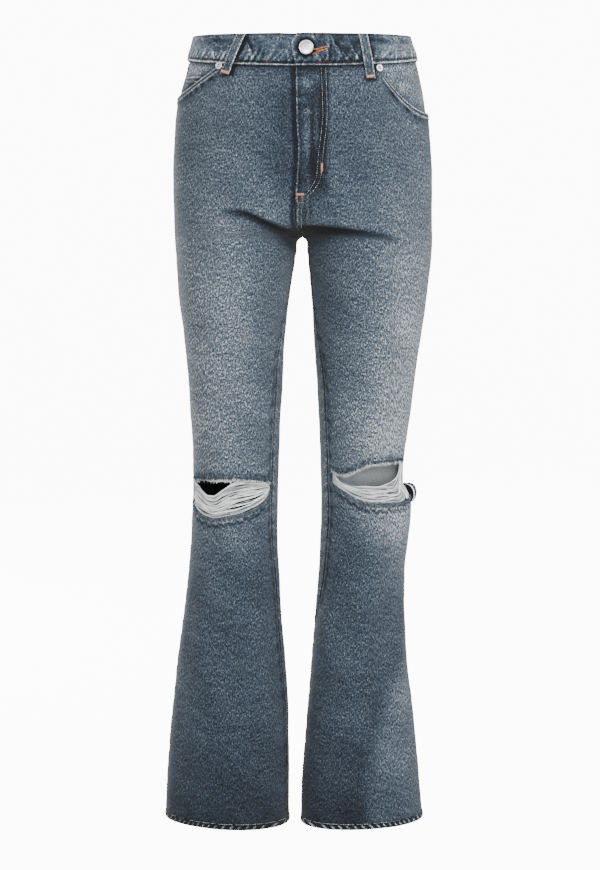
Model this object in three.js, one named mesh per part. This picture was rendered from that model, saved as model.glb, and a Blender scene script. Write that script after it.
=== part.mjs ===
// Ripped bootcut jeans, empty but holding their worn shape. Millimetres, +Z up.
// The origin is the centre of the waist opening; the front faces -Y, the wearer's left is +X.
import * as THREE from 'three';

const RIGHT = -1;              // the wearer's right half, on the -X side
const LEFT = 1;                // the wearer's left half, on the +X side

// Cloth and gaps
const DENIM = 1.5;             // wall of a panel
const BAND_CLOTH = 3;          // waistband, two layers and a stiffener
const BAND_PROUD = 1;          // how far the waistband stands out from the panels
const HEM_CLOTH = 3;           // hem, turned up twice
const HEM_PROUD = 0.7;
const SEAM = 0.3;              // air between neighbouring pieces
const PLY_GAP = 0.7;           // air between pieces that lie on each other
const POCKET_GAP = 1.1;        // air behind a pocket mouth
const BAND_GAP = 0.5;          // air below the waistband
const COIN_CLOTH = 1.2;
const WEB_CLOTH = 1.2;         // the reach of the loose threads
const WEB_SUNK = 0.2;
const LOOP_CLOTH = 1.8;

// Levels
const CROTCH = -277;
const FORK = 100;              // height over which the trunk divides into two legs
const FORK_BEND = 1.8;         // above 1 the trunk stays whole lower down
const HEM = -1105;
const HEM_TILT = 3.5;          // the hem is higher at the outer side
const HEM_HEIGHT = 9.5;
const BAND_FRONT = 44.5;       // waistband height at the centre, front and back
const BAND_SIDE = 34;          // and at the sides

// Half-width of the garment from its centre plane to the outer side: height, right, left.
const OUTER = [
  [0, 151, 149], [-41, 161.5, 161.5], [-88, 173, 171.5], [-143, 178.5, 177.5],
  [-198, 180.5, 181.5], [-277, 178.5, 181], [-337, 175.5, 177], [-421, 166, 165],
  [-506, 158, 154], [-575, 154.5, 144.5], [-618, 154, 140.5], [-645, 154.5, 152.5],
  [-700, 157.5, 149.5], [-745, 161, 144.5], [-790, 165, 144], [-876, 177, 148.5],
  [-963, 185.5, 157.5], [-1050, 192, 166], [-1110, 195, 171],
];

// Distance from the centre plane to the inner side of each leg: height, right, left.
const INNER = [
  [-277, 0, 0], [-279.5, 4, 3.5], [-283, 7, 6], [-300, 9.5, 7.5], [-337, 14.7, 10.5],
  [-421, 24.5, 16], [-506, 29, 22], [-590, 33, 24.7], [-647, 34.5, 26], [-704, 34.6, 24.8],
  [-790, 30.4, 19.2], [-876, 23.4, 12], [-963, 17.7, 5], [-1050, 17.8, -2], [-1110, 17.8, -3.5],
];

// Depth of each tube: height, forward half, rear half, forward shift of its centre.
const DEPTH = [
  [0, 90, 97, 0], [-41, 96, 103, -1], [-88, 102, 112, -3], [-143, 106, 118, -6],
  [-198, 107, 122, -8], [-254, 105, 118, -8], [-277, 103, 112, -8], [-337, 98, 101, -6],
  [-421, 85, 87, -2], [-506, 72, 74, 2], [-590, 63, 63, 5], [-647, 60, 61, 4],
  [-704, 60, 62, 1], [-790, 61, 65, -3], [-876, 65, 68, -5], [-963, 68, 71, -5],
  [-1050, 71, 73, -4], [-1110, 72, 74, -3],
];

// How far, in degrees, the inseam stands forward of the innermost line of each leg.
const INSEAM_TURN = [
  [-277, 0, 0], [-350, 10, 10], [-470, 30, 30], [-640, 31, 33], [-728, 25, 30], [-785, 22, 23],
  [-830, 21, 0], [-900, 20, 0], [-983, 17, 0], [-1110, 13, 0],
];
const SIDE_SEAM = 8;           // degrees behind the outermost line

// Fly: the left front laps over the right one.
const LAP = 8.5;               // past the centre, onto the wearer's right
const LAP_END = [-252, -274];  // where the lap runs back into the crotch seam
const LAP_RISE = 1.4;
const FLY_WIDTH = 31;          // to the curved stitching
const FLY_FOOT = -222;

// Pocket mouths: distance of the upper end from the centre, height there, drop to the
// side seam, and how hollow the curve is (1 is straight).
const MOUTH = {
  [RIGHT]: { start: 111.8, top: -41.3, drop: 48, hollow: 1 },
  [LEFT]: { start: 103.8, top: -46.7, drop: 59, hollow: 1.7 },
};
const MOUTH_SPAN = 68;

// Rips: their span round the leg in degrees from the outer side, and their upper and lower
// edges as fractions of that span, from the inseam's end to the side seam's end.
const RIP = {
  [RIGHT]: {
    from: -146, to: -12,
    upper: [[0, -616], [0.12, -613], [0.4, -609], [0.7, -609.5], [0.9, -612], [1, -613]],
    lower: [[0, -627], [0.1, -644], [0.25, -655], [0.45, -663], [0.65, -667], [0.85, -660], [1, -646]],
    sag: [[0, -619], [0.12, -617], [0.4, -616], [0.6, -624], [0.75, -634], [0.9, -624], [1, -620]],
    ends: [-613, -640],
  },
  [LEFT]: {
    from: -139, to: -8,
    upper: [[0, -598], [0.15, -602], [0.3, -596], [0.45, -587], [0.8, -586], [1, -589]],
    lower: [[0, -616], [0.15, -628], [0.35, -643], [0.5, -646], [0.75, -646], [0.9, -643], [1, -638]],
    sag: [[0, -603], [0.15, -617], [0.35, -618], [0.7, -618], [0.85, -608], [1, -600]],
    ends: [-598, -634],
  },
};

// Folds pressed in across the lap, from the crotch outwards: height at the crotch and at the
// far end, distance of both ends from the centre, depth.
const LAP_FOLD = {
  [RIGHT]: { near: 14, far: 112, nearZ: -268, farZ: -240, depth: 3.5 },
  [LEFT]: { near: 14, far: 128, nearZ: -263, farZ: -279, depth: 3.5 },
};
const FOLD_HALF_WIDTH = 11;

// Grid of a panel
const FRONT_CELLS = 11;
const MOUTH_CELLS = 5;         // of them, those below the pocket mouth
const BACK_CELLS = 10;
const TOP_CELLS = 3;           // rows from the panel's top edge to TOP_LEVEL
const TOP_LEVEL = -150;
const TRUNK_LEVELS = [-185, -215, -238, -255, -267, -274, -277];
const THIGH_LEVELS = [-279.5, -283, -296, -325, -372, -425, -480, -535, -582];
const SHIN_LEVELS = [-690, -735, -785, -850, -920, -1000];

const MATERIALS = {};

function cloth(name, colour, roughness) {
  const material = new THREE.MeshStandardMaterial({ color: colour, roughness, metalness: 0 });
  material.name = name;
  MATERIALS[name] = material;
}

function metal(name, colour, roughness) {
  const material = new THREE.MeshStandardMaterial({ color: colour, roughness, metalness: 1 });
  material.name = name;
  MATERIALS[name] = material;
}

cloth('denim_front', 0x6c7e8f, 0.92);
cloth('denim_back', 0x647687, 0.92);
cloth('denim_band', 0x5f7183, 0.92);
cloth('denim_trim', 0x7b8b99, 0.92);
cloth('denim_hem', 0x4d5d6e, 0.92);
cloth('white_thread', 0xe3e6e4, 0.9);
metal('button_metal', 0xc9ccd0, 0.35);
metal('rivet_metal', 0xb9bcc0, 0.4);

const radians = (degrees) => degrees * Math.PI / 180;
const degrees = (angle) => angle * 180 / Math.PI;
const mix = (a, b, t) => a + (b - a) * t;
const clamp = (v, low, high) => Math.min(high, Math.max(low, v));

function smooth(from, to, v) {
  const t = clamp((v - from) / (to - from), 0, 1);
  return t * t * (3 - 2 * t);
}

// Monotone cubic through the rows [key, value, ...] of a table, along a rising or falling key.
function along(table, column, key) {
  const sign = Math.sign(table[1][0] - table[0][0]);
  const last = table.length - 1;
  const at = clamp(key * sign, table[0][0] * sign, table[last][0] * sign) * sign;
  let i = 0;
  while (i < last - 1 && at * sign > table[i + 1][0] * sign) {
    i += 1;
  }
  const width = (k) => table[k + 1][0] - table[k][0];
  const slope = (k) => (table[k + 1][column] - table[k][column]) / width(k);
  const tangent = (k) => {
    if (k === 0) {
      return slope(0);
    }
    if (k === last) {
      return slope(last - 1);
    }
    const before = slope(k - 1);
    const after = slope(k);
    return before * after <= 0 ? 0 : 2 * before * after / (before + after);
  };
  const h = width(i);
  const t = (at - table[i][0]) / h;
  const t2 = t * t;
  const t3 = t2 * t;
  return table[i][column] * (2 * t3 - 3 * t2 + 1) + h * tangent(i) * (t3 - 2 * t2 + t)
    + table[i + 1][column] * (3 * t2 - 2 * t3) + h * tangent(i + 1) * (t3 - t2);
}

const sideColumn = (side) => (side === RIGHT ? 1 : 2);
const outer = (side, z) => along(OUTER, sideColumn(side), z);
const inner = (side, z) => along(INNER, sideColumn(side), z);
const inseamTurn = (side, z) => along(INSEAM_TURN, sideColumn(side), z);

// Section of one half: centre and half-width of its ellipse, and the angle at which it meets
// the centre plane. Above the fork the two halves make one oval, below the crotch two tubes.
function section(side, z) {
  if (z < CROTCH) {
    const far = outer(side, z);
    const near = inner(side, z);
    return { centre: (far + near) / 2, reach: (far - near) / 2, meet: 180 };
  }
  const share = Math.pow(1 - clamp((z - CROTCH) / FORK, 0, 1), FORK_BEND);
  const reach = outer(side, z) / (1 + share);
  return { centre: reach * share, reach, meet: degrees(Math.acos(-share)) };
}

// Height of the waistband's lower edge; angle 0 is the outer side, negative is the front.
function bandFoot(angle) {
  return -mix(BAND_SIDE, BAND_FRONT, Math.pow(Math.abs(Math.sin(radians(angle))), 1.5));
}

function foldDepth(side, angle, x, z) {
  const fold = LAP_FOLD[side];
  if (angle > 0 || x < fold.near - 12 || x > fold.far + 20) {
    return 0;
  }
  const line = mix(fold.nearZ, fold.farZ, clamp((x - fold.near) / (fold.far - fold.near), 0, 1));
  const across = Math.exp(-Math.pow((z - line) / FOLD_HALF_WIDTH, 2));
  const ends = smooth(fold.near - 12, fold.near, x) * (1 - smooth(fold.far - 20, fold.far + 20, x));
  return fold.depth * across * ends;
}

// A point of the bare oval of one half.
function bare(side, angle, z) {
  const cut = section(side, z);
  const a = radians(angle);
  const depth = along(DEPTH, Math.sin(a) < 0 ? 1 : 2, z);
  const x = SEAM / 2 + cut.centre + cut.reach * Math.cos(a);
  const y = depth * Math.sin(a) - along(DEPTH, 3, z);
  return new THREE.Vector3(side * x, y, z);
}

// A point of the cloth's outer face, moved out by lift. An angle past the centre plane
// carries on round the other half.
function skin(side, angle, z, lift) {
  const meet = section(side, z).meet;
  if (z > CROTCH && angle < -meet - 1e-9) {
    return skin(-side, -2 * meet - angle, z, lift);
  }
  const stepAngle = 0.5;
  const stepZ = 2;
  const point = bare(side, angle, z);
  const round = bare(side, angle + stepAngle, z).sub(bare(side, angle - stepAngle, z));
  const down = bare(side, angle, z - stepZ).sub(bare(side, angle, Math.min(z + stepZ, 0)));
  const normal = new THREE.Vector3().crossVectors(down, round).normalize();
  if (normal.x * Math.cos(radians(angle)) * side + normal.y * Math.sin(radians(angle)) < 0) {
    normal.negate();
  }
  const sink = foldDepth(side, angle, Math.abs(point.x), z);
  return point.addScaledVector(normal, lift - sink);
}

// Degrees that make up a distance along the cloth at a point.
function turnFor(side, angle, z, distance) {
  const step = 1;
  const reach = bare(side, angle + step, z).distanceTo(bare(side, angle - step, z)) / (2 * step);
  return distance / Math.max(reach, 0.2);
}

// Angle of the front half at a distance from the centre plane.
function angleAt(side, z, x) {
  const cut = section(side, z);
  return -degrees(Math.acos(clamp((x - SEAM / 2 - cut.centre) / cut.reach, -1, 1)));
}

// Solid cloth over a grid of points. place(row, column, lift) gives a point; open(row, column)
// tells which cells are left out; the grid may close on itself round a tube.
function clothSolid(rows, columns, top, thickness, place, open, closed) {
  const across = closed ? columns : columns + 1;
  const positions = [];
  const layer = (rows + 1) * across;
  for (const lift of [top, top - thickness]) {
    for (let i = 0; i <= rows; i += 1) {
      for (let j = 0; j < across; j += 1) {
        const p = place(i, j, lift);
        positions.push(p.x, p.y, p.z);
      }
    }
  }
  const id = (i, j, side) => side * layer + i * across + (j % across);
  const isCloth = (i, j) => {
    if (i < 0 || i >= rows) {
      return false;
    }
    if (closed) {
      return !open(i, (j + columns) % columns);
    }
    return j >= 0 && j < columns && !open(i, j);
  };
  const faces = [];
  const quad = (a, b, c, d) => faces.push(a, b, c, a, c, d);
  for (let i = 0; i < rows; i += 1) {
    for (let j = 0; j < columns; j += 1) {
      if (!isCloth(i, j)) {
        continue;
      }
      quad(id(i, j, 0), id(i + 1, j, 0), id(i + 1, j + 1, 0), id(i, j + 1, 0));
      quad(id(i, j, 1), id(i, j + 1, 1), id(i + 1, j + 1, 1), id(i + 1, j, 1));
      const wall = (a, b) => quad(id(...a, 0), id(...a, 1), id(...b, 1), id(...b, 0));
      if (!isCloth(i - 1, j)) {
        wall([i, j + 1], [i, j]);
      }
      if (!isCloth(i + 1, j)) {
        wall([i + 1, j], [i + 1, j + 1]);
      }
      if (!isCloth(i, j - 1)) {
        wall([i, j], [i + 1, j]);
      }
      if (!isCloth(i, j + 1)) {
        wall([i + 1, j + 1], [i, j + 1]);
      }
    }
  }
  return facingOut(positions, faces);
}

// Geometry with every face turned outwards, and without unused points.
function facingOut(positions, faces) {
  const at = (k) => new THREE.Vector3(...positions.slice(3 * k, 3 * k + 3));
  let volume = 0;
  for (let k = 0; k < faces.length; k += 3) {
    volume += at(faces[k]).dot(at(faces[k + 1]).cross(at(faces[k + 2])));
  }
  const turned = [];
  for (let k = 0; k < faces.length; k += 3) {
    turned.push(faces[k], faces[k + (volume > 0 ? 1 : 2)], faces[k + (volume > 0 ? 2 : 1)]);
  }
  const kept = new Map();
  const points = [];
  const index = turned.map((k) => {
    if (!kept.has(k)) {
      kept.set(k, kept.size);
      points.push(...positions.slice(3 * k, 3 * k + 3));
    }
    return kept.get(k);
  });
  const geometry = new THREE.BufferGeometry();
  geometry.setAttribute('position', new THREE.Float32BufferAttribute(points, 3));
  geometry.setIndex(index);
  geometry.computeVertexNormals();
  return geometry;
}

const solid = () => false;

// Height of the pocket mouth's edge at an angle of the front.
function mouthHeight(side, angle) {
  const mouth = MOUTH[side];
  let z = -70;
  for (let k = 0; k < 4; k += 1) {
    const x = outer(side, z) * Math.cos(radians(angle));
    const run = clamp((x - mouth.start) / MOUTH_SPAN, 0, 1);
    z = mouth.top - mouth.drop * (1 - Math.pow(1 - run, mouth.hollow));
  }
  return z;
}

const mouthStart = (side) => angleAt(side, MOUTH[side].top, MOUTH[side].start);

// Rows of a front panel: each gives the height at an angle.
function frontLevels(side) {
  const rip = RIP[side];
  const start = mouthStart(side);
  const top = (angle) => (angle <= start ? bandFoot(angle) - BAND_GAP : mouthHeight(side, angle));
  const levels = [];
  for (let k = 0; k < TOP_CELLS; k += 1) {
    levels.push((angle) => mix(top(angle), TOP_LEVEL, k / TOP_CELLS));
  }
  levels.push(() => TOP_LEVEL);
  TRUNK_LEVELS.concat(THIGH_LEVELS).forEach((z) => levels.push(() => z));
  levels.push((angle) => ripEdge(rip, rip.upper, rip.ends[0], angle));
  levels.push((angle) => ripEdge(rip, rip.lower, rip.ends[1], angle));
  SHIN_LEVELS.forEach((z) => levels.push(() => z));
  levels.push((angle) => hemTop(angle) + SEAM);
  return levels;
}

function ripEdge(rip, curve, beyond, angle) {
  const t = (angle - rip.from) / (rip.to - rip.from);
  return t < -1e-9 || t > 1 + 1e-9 ? beyond : along(curve, 1, t);
}

const hemFoot = (angle) => HEM + HEM_TILT * Math.cos(radians(angle));
const hemTop = (angle) => hemFoot(angle) + HEM_HEIGHT;

// Angle at which a front panel ends at the centre seam or the inseam.
function innerEdge(side, z) {
  if (z < CROTCH) {
    return -180 + inseamTurn(side, z);
  }
  const lap = LAP * (1 - smooth(LAP_END[0], LAP_END[1], z));
  const meet = section(side, z).meet;
  const edge = angleAt(RIGHT, z, Math.max(lap, SEAM / 2));
  return side === RIGHT ? edge : -meet - (edge + section(RIGHT, z).meet);
}

// Angle of a column of a front panel. Near the top the columns crowd to the pocket mouth, at
// the knee to the ends of the rip, elsewhere they are even.
function frontAngle(side, column, z) {
  const rip = RIP[side];
  const gap = SEAM / 2;
  const edge = innerEdge(side, z);
  const first = edge + turnFor(side, edge, z, gap);
  const last = SIDE_SEAM - turnFor(side, SIDE_SEAM, z, gap);
  const even = mix(first, last, column / FRONT_CELLS);
  const toMouth = FRONT_CELLS - MOUTH_CELLS;
  const start = mouthStart(side);
  const crowded = column <= toMouth
    ? mix(first, start, column / toMouth)
    : mix(start, last, (column - toMouth) / MOUTH_CELLS);
  const inRip = column === 0 || column === FRONT_CELLS
    ? even
    : mix(rip.from, rip.to, (column - 1) / (FRONT_CELLS - 2));
  const upper = smooth(-240, -130, z);
  const knee = smooth(-535, -582, z) * (1 - smooth(-700, -735, z));
  return mix(mix(even, crowded, upper), inRip, knee);
}

// A point on a column of the front at a height that itself depends on the angle.
function onFront(side, column, level, lift) {
  let angle = frontAngle(side, column, level(-90));
  angle = frontAngle(side, column, level(angle));
  const z = level(angle);
  return skin(side, angle, z, lift + flyRise(side, angle, z));
}

function frontPanel(side) {
  const levels = frontLevels(side);
  const rows = levels.length - 1;
  const ripRow = TOP_CELLS + TRUNK_LEVELS.length + THIGH_LEVELS.length + 1;
  const place = (row, column, lift) => onFront(side, column, levels[row], lift);
  const open = (row, column) => row === ripRow && column > 0 && column < FRONT_CELLS - 1;
  return clothSolid(rows, FRONT_CELLS, 0, DENIM, place, open, false);
}

// The left front stands proud over the fly's layers.
function flyRise(side, angle, z) {
  if (side === RIGHT || z < CROTCH) {
    return 0;
  }
  const x = bare(side, Math.max(angle, -section(side, z).meet), z).x;
  return LAP_RISE * (1 - smooth(FLY_WIDTH, FLY_WIDTH + 12, x)) * smooth(FLY_FOOT - 25, FLY_FOOT, z);
}

// Height of the seam between yoke and back panel.
const YOKE_SIDE = -80;
const YOKE_CENTRE = -122;
function yokeFoot(side, angle) {
  const t = clamp((angle - SIDE_SEAM) / (section(side, YOKE_SIDE).meet - SIDE_SEAM), 0, 1);
  return mix(YOKE_SIDE, YOKE_CENTRE, t);
}

function backAngle(side, column, cells, z) {
  const gap = SEAM / 2;
  const first = SIDE_SEAM + turnFor(side, SIDE_SEAM, z, gap);
  const edge = z < CROTCH ? 180 + inseamTurn(side, z) : section(side, z).meet;
  const last = z < CROTCH ? edge - turnFor(side, edge, z, gap) : edge;
  return mix(first, last, column / cells);
}

// Points of a back panel's grid, by row and column.
function backPlace(side) {
  const rip = RIP[side];
  const levels = [];
  for (let k = 0; k < TOP_CELLS - 1; k += 1) {
    levels.push((angle) => mix(yokeFoot(side, angle) - SEAM, TOP_LEVEL, k / (TOP_CELLS - 1)));
  }
  levels.push(() => TOP_LEVEL);
  TRUNK_LEVELS.concat(THIGH_LEVELS, rip.ends, SHIN_LEVELS).forEach((z) => levels.push(() => z));
  levels.push((angle) => hemTop(angle) + SEAM);
  const place = (row, column, lift) => {
    const angle = backAngle(side, column, BACK_CELLS, levels[row](90));
    return skin(side, angle, levels[row](angle), lift);
  };
  return { place, rows: levels.length - 1 };
}

function backPanel(side) {
  const grid = backPlace(side);
  return clothSolid(grid.rows, BACK_CELLS, 0, DENIM, grid.place, solid, false);
}

function yoke(side) {
  const cells = BACK_CELLS / 2;
  const rows = 2;
  const place = (row, column, lift) => {
    const angle = backAngle(side, column, cells, YOKE_SIDE);
    const z = mix(bandFoot(angle) - BAND_GAP, yokeFoot(side, angle), row / rows);
    return skin(side, angle, z, lift);
  };
  return clothSolid(rows, cells, 0, DENIM, place, solid, false);
}

const coinLift = -(DENIM + POCKET_GAP);
const facingLift = (side) => coinLift - (side === RIGHT ? COIN_CLOTH + PLY_GAP : 0);

// The cloth behind a pocket mouth reaches under the front panel.
const FACING_UNDER = 20;
function pocketFacing(side) {
  const rows = 3;
  const first = FRONT_CELLS - MOUTH_CELLS - 1;
  const place = (row, column, lift) => {
    const level = (angle) => {
      const foot = mouthHeight(side, Math.max(angle, mouthStart(side))) - FACING_UNDER;
      return mix(bandFoot(angle) - BAND_GAP, foot, row / rows);
    };
    return onFront(side, first + column, level, lift);
  };
  return clothSolid(rows, MOUTH_CELLS + 1, facingLift(side), DENIM, place, solid, false);
}

// The coin pocket lies on the right facing; its lower part is under the front panel.
const COIN_TOP = -56;
const COIN_FOOT = -96;
function coinPocket() {
  const rows = 2;
  const cells = 3;
  const first = FRONT_CELLS - MOUTH_CELLS + 1;
  const place = (row, column, lift) =>
    onFront(RIGHT, first + column, () => mix(COIN_TOP, COIN_FOOT, row / rows), lift);
  return clothSolid(rows, cells, coinLift, COIN_CLOTH, place, solid, false);
}

// Patch pocket with a pointed foot, made from the back panel's points, moved out.
const POCKET_ROWS = [1.5, 2, 3, 4, 5, 6, 6.15];       // rows of the panel that it lies on
const POCKET_POINT = 0.85;                         // rows by which its middle hangs lower
const POCKET_COLUMNS = [3, 4, 5, 6, 7, 8];
const POCKET_TAPER = 0.35;                         // columns lost at each side of the foot
function backPocket(side) {
  const panel = backPlace(side).place;
  const rows = POCKET_ROWS.length - 1;
  const cells = POCKET_COLUMNS.length - 1;
  const place = (row, column, lift) => {
    const u = 2 * column / cells - 1;
    const v = row / rows;
    const last = row === rows ? POCKET_POINT * (1 - Math.abs(u)) : 0;
    const taper = Math.abs(u) === 1 ? -Math.sign(u) * POCKET_TAPER * v : 0;
    return between(panel, POCKET_ROWS[row] + last, POCKET_COLUMNS[column] + taper, lift);
  };
  return clothSolid(rows, cells, DENIM + PLY_GAP, DENIM, place, solid, false);
}

// A point between those of a grid.
function between(place, row, column, lift) {
  const i = Math.floor(row);
  const j = Math.floor(column);
  const upper = place(i, j, lift).lerp(place(i, j + 1, lift), column - j);
  const lower = place(i + 1, j, lift).lerp(place(i + 1, j + 1, lift), column - j);
  return upper.lerp(lower, row - i);
}

// A turned-up hem, one ring to a leg.
function hem(side) {
  const cells = 22;
  const place = (row, column, lift) => {
    const angle = -180 + 360 * column / cells;
    const z = row === 0 ? hemTop(angle) : hemFoot(angle);
    return skin(side, angle > 180 ? angle - 360 : angle, z, lift);
  };
  return clothSolid(1, cells, HEM_PROUD, HEM_CLOTH, place, solid, true);
}

// The reach of the loose white threads in the lower part of a rip.
const WEB_CLEAR = 0.5;         // air between the threads and the cloth
function kneeThreads(side) {
  const rip = RIP[side];
  const cells = FRONT_CELLS - 2;
  const rows = 2;
  const place = (row, column, lift) => {
    const angle = mix(rip.from, rip.to, column / cells);
    const end = turnFor(side, angle, rip.ends[1], WEB_CLEAR);
    const shifted = angle + (column === 0 ? end : 0) - (column === cells ? end : 0);
    const foot = ripEdge(rip, rip.lower, 0, angle) + WEB_CLEAR;
    return skin(side, shifted, mix(ripEdge(rip, rip.sag, 0, angle), foot, row / rows), lift);
  };
  return clothSolid(rows, cells, -WEB_SUNK, WEB_CLOTH, place, solid, false);
}

// The waistband: an open strip round the waist. Its right end lies under the left one.
const BAND_LAP_END = -11;      // distance of the upper end's edge from the centre
const BAND_UNDER = 34;         // length hidden below it
const BAND_SUNK = 37;          // length that lies a layer deeper
const BAND_CLIMB = 22;         // length over which it comes up from there
const WAIST_REACH = 150;       // half-width of the waist
function waistband() {
  const cells = 46;
  const rows = 2;
  const start = angleAround(BAND_UNDER + BAND_LAP_END);
  const end = angleAround(BAND_LAP_END) + 360;
  const place = (row, column, lift) => {
    const turn = mix(start, end, column / cells);
    const run = radians(turn - start) * WAIST_REACH;
    const dip = (BAND_CLOTH + PLY_GAP) * (1 - smooth(BAND_SUNK, BAND_SUNK + BAND_CLIMB, run));
    const spot = aroundWaist(turn);
    const z = mix(0, bandFoot(spot.angle), row / rows);
    return skin(spot.side, spot.angle, z, lift - dip);
  };
  return clothSolid(rows, cells, BAND_PROUD, BAND_CLOTH, place, solid, false);
}

// Round the waist as one angle: 0 is the front centre, rising towards the wearer's right.
function aroundWaist(turn) {
  const t = ((turn % 360) + 360) % 360;
  if (t <= 180) {
    return { side: RIGHT, angle: t - 90 };
  }
  return { side: LEFT, angle: 270 - t };
}

function angleAround(x) {
  return degrees(Math.asin(clamp(-x / outer(x < 0 ? RIGHT : LEFT, -20), -1, 1)));
}

// A belt loop: a strip from the waistband's top edge to below its seam.
const LOOP_WIDTH = 12;
const LOOP_BULGE = 1.6;
function beltLoop(spot) {
  const rows = 7;
  const rest = BAND_PROUD + PLY_GAP + LOOP_CLOTH;
  const place = (row, column, lift) => {
    const v = row / rows;
    const z = mix(spot.topZ, spot.footZ, v);
    const x = mix(spot.topX, spot.footX, v) + (column - 0.5) * LOOP_WIDTH;
    const side = x < 0 ? RIGHT : LEFT;
    const cut = section(side, z);
    const turn = degrees(Math.acos(clamp((Math.abs(x) - cut.centre) / cut.reach, -1, 1)));
    const arch = LOOP_BULGE * Math.sin(Math.PI * v);
    return skin(side, spot.back ? turn : -turn, z, lift + arch);
  };
  return clothSolid(rows, 1, rest, LOOP_CLOTH, place, solid, false);
}

// A turned disc standing on the cloth at a point of the front.
function stud(x, z, lift, profile, facets) {
  const side = x < 0 ? RIGHT : LEFT;
  const angle = angleAt(side, z, Math.abs(x));
  const foot = skin(side, angle, z, lift);
  const out = skin(side, angle, z, lift + 1).sub(foot).normalize();
  const points = profile.map(([radius, height]) => new THREE.Vector2(radius, height));
  const disc = new THREE.LatheGeometry(points, facets);
  const turn = new THREE.Quaternion().setFromUnitVectors(new THREE.Vector3(0, 1, 0), out);
  disc.applyQuaternion(turn);
  disc.translate(foot.x, foot.y, foot.z);
  return disc;
}

// Half-profiles [radius, height], from the axis at the foot round to the axis at the top.
const BUTTON_PROFILE = [
  [0, 0], [7, 0], [8, 1.2], [9.7, 1.6], [9.9, 2.4], [9, 3.3], [8, 3.1], [6.6, 2.6], [0, 2.5],
];
const RIVET_PROFILE = [[0, 0], [5, 0], [5.2, 0.7], [4.4, 1.5], [2.6, 1.5], [1.8, 1], [0, 1]];

const model = new THREE.Group();
model.name = 'ripped_jeans';

function add(name, geometry, material) {
  const mesh = new THREE.Mesh(geometry, MATERIALS[material].clone());
  mesh.name = name;
  model.add(mesh);
}

add('waistband', waistband(), 'denim_band');
for (const [word, side] of [['right', RIGHT], ['left', LEFT]]) {
  add(`front_${word}`, frontPanel(side), 'denim_front');
  add(`back_${word}`, backPanel(side), 'denim_back');
  add(`yoke_${word}`, yoke(side), 'denim_back');
  add(`pocket_facing_${word}`, pocketFacing(side), 'denim_trim');
  add(`back_pocket_${word}`, backPocket(side), 'denim_back');
  add(`hem_${word}`, hem(side), 'denim_hem');
  add(`knee_threads_${word}`, kneeThreads(side), 'white_thread');
}
add('coin_pocket', coinPocket(), 'denim_trim');

const LOOPS = {
  belt_loop_front_right: { topX: -82.4, topZ: -1.5, footX: -104.5, footZ: -55, back: false },
  belt_loop_front_left: { topX: 80.7, topZ: -1.5, footX: 91.5, footZ: -61, back: false },
  belt_loop_back_right: { topX: -98, topZ: -1.5, footX: -100, footZ: -57, back: true },
  belt_loop_back_left: { topX: 98, topZ: -1.5, footX: 100, footZ: -57, back: true },
  belt_loop_back: { topX: 0.5, topZ: -1.5, footX: 0.5, footZ: -57, back: true },
};
for (const [name, spot] of Object.entries(LOOPS)) {
  add(name, beltLoop(spot), 'denim_trim');
}

const OVER_BAND = BAND_PROUD + PLY_GAP;
add('button', stud(4.7, -20, OVER_BAND, BUTTON_PROFILE, 20), 'button_metal');
add('rivet_right', stud(-113, -43.5, OVER_BAND, RIVET_PROFILE, 14), 'rivet_metal');
add('rivet_left', stud(103.8, -46.7, OVER_BAND, RIVET_PROFILE, 14), 'rivet_metal');

export default model;
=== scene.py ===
import math
import bpy
import numpy as np
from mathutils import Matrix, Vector


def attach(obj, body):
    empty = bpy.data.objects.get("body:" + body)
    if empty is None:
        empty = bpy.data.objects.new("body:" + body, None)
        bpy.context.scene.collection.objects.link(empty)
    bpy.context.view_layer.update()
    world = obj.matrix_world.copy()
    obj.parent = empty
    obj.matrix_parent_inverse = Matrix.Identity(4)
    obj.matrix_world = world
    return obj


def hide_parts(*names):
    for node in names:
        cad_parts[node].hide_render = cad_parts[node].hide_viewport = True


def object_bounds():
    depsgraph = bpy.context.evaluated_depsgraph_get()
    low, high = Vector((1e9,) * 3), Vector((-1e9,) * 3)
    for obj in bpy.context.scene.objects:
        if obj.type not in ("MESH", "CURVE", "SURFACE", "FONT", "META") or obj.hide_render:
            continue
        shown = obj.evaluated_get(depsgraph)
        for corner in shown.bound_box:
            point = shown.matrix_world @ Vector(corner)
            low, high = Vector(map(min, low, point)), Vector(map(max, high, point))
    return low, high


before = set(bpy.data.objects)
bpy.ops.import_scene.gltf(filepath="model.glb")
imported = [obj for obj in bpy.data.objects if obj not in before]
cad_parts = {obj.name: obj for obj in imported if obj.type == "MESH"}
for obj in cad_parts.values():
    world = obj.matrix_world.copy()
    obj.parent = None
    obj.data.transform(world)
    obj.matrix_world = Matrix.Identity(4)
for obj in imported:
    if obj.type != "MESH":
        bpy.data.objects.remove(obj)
cad_low, cad_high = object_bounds()

# The garment's own sizes are in millimetres; meshes are made in metres.
MM = 0.001
RIGHT, LEFT = -1, 1            # the wearer's halves; the right one is at -X

DENIM = 1.5                    # thickness of one ply
BAND_CLOTH, BAND_PROUD = 3.0, 1.0   # thickness, and how far it stands out of the panels
HEM_CLOTH, HEM_PROUD = 3.0, 0.7
SEAM = 0.3
TAKEN = -.12                   # edges sewn together run this much past each other
PANEL_TUCK, FOOT_TUCK = 1.5, 1 # how far a panel runs up into the waistband and down into the hem
YOKE_TUCK, YOKE_LAP, FACING_TUCK = 1, .1, 3
CROTCH, FORK, FORK_BEND = -277.0, 100.0, 1.8
HEM, HEM_TILT, HEM_HEIGHT = -1105.0, 3.5, 9.5
BAND_FRONT, BAND_SIDE = 44.5, 34.0
SIDE_SEAM = 8.0
LAP_END = (-252.0, -274.0)     # the fly's lap runs out between these heights
FLY_WIDTH, FLY_FOOT = 31.0, -222.0
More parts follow.
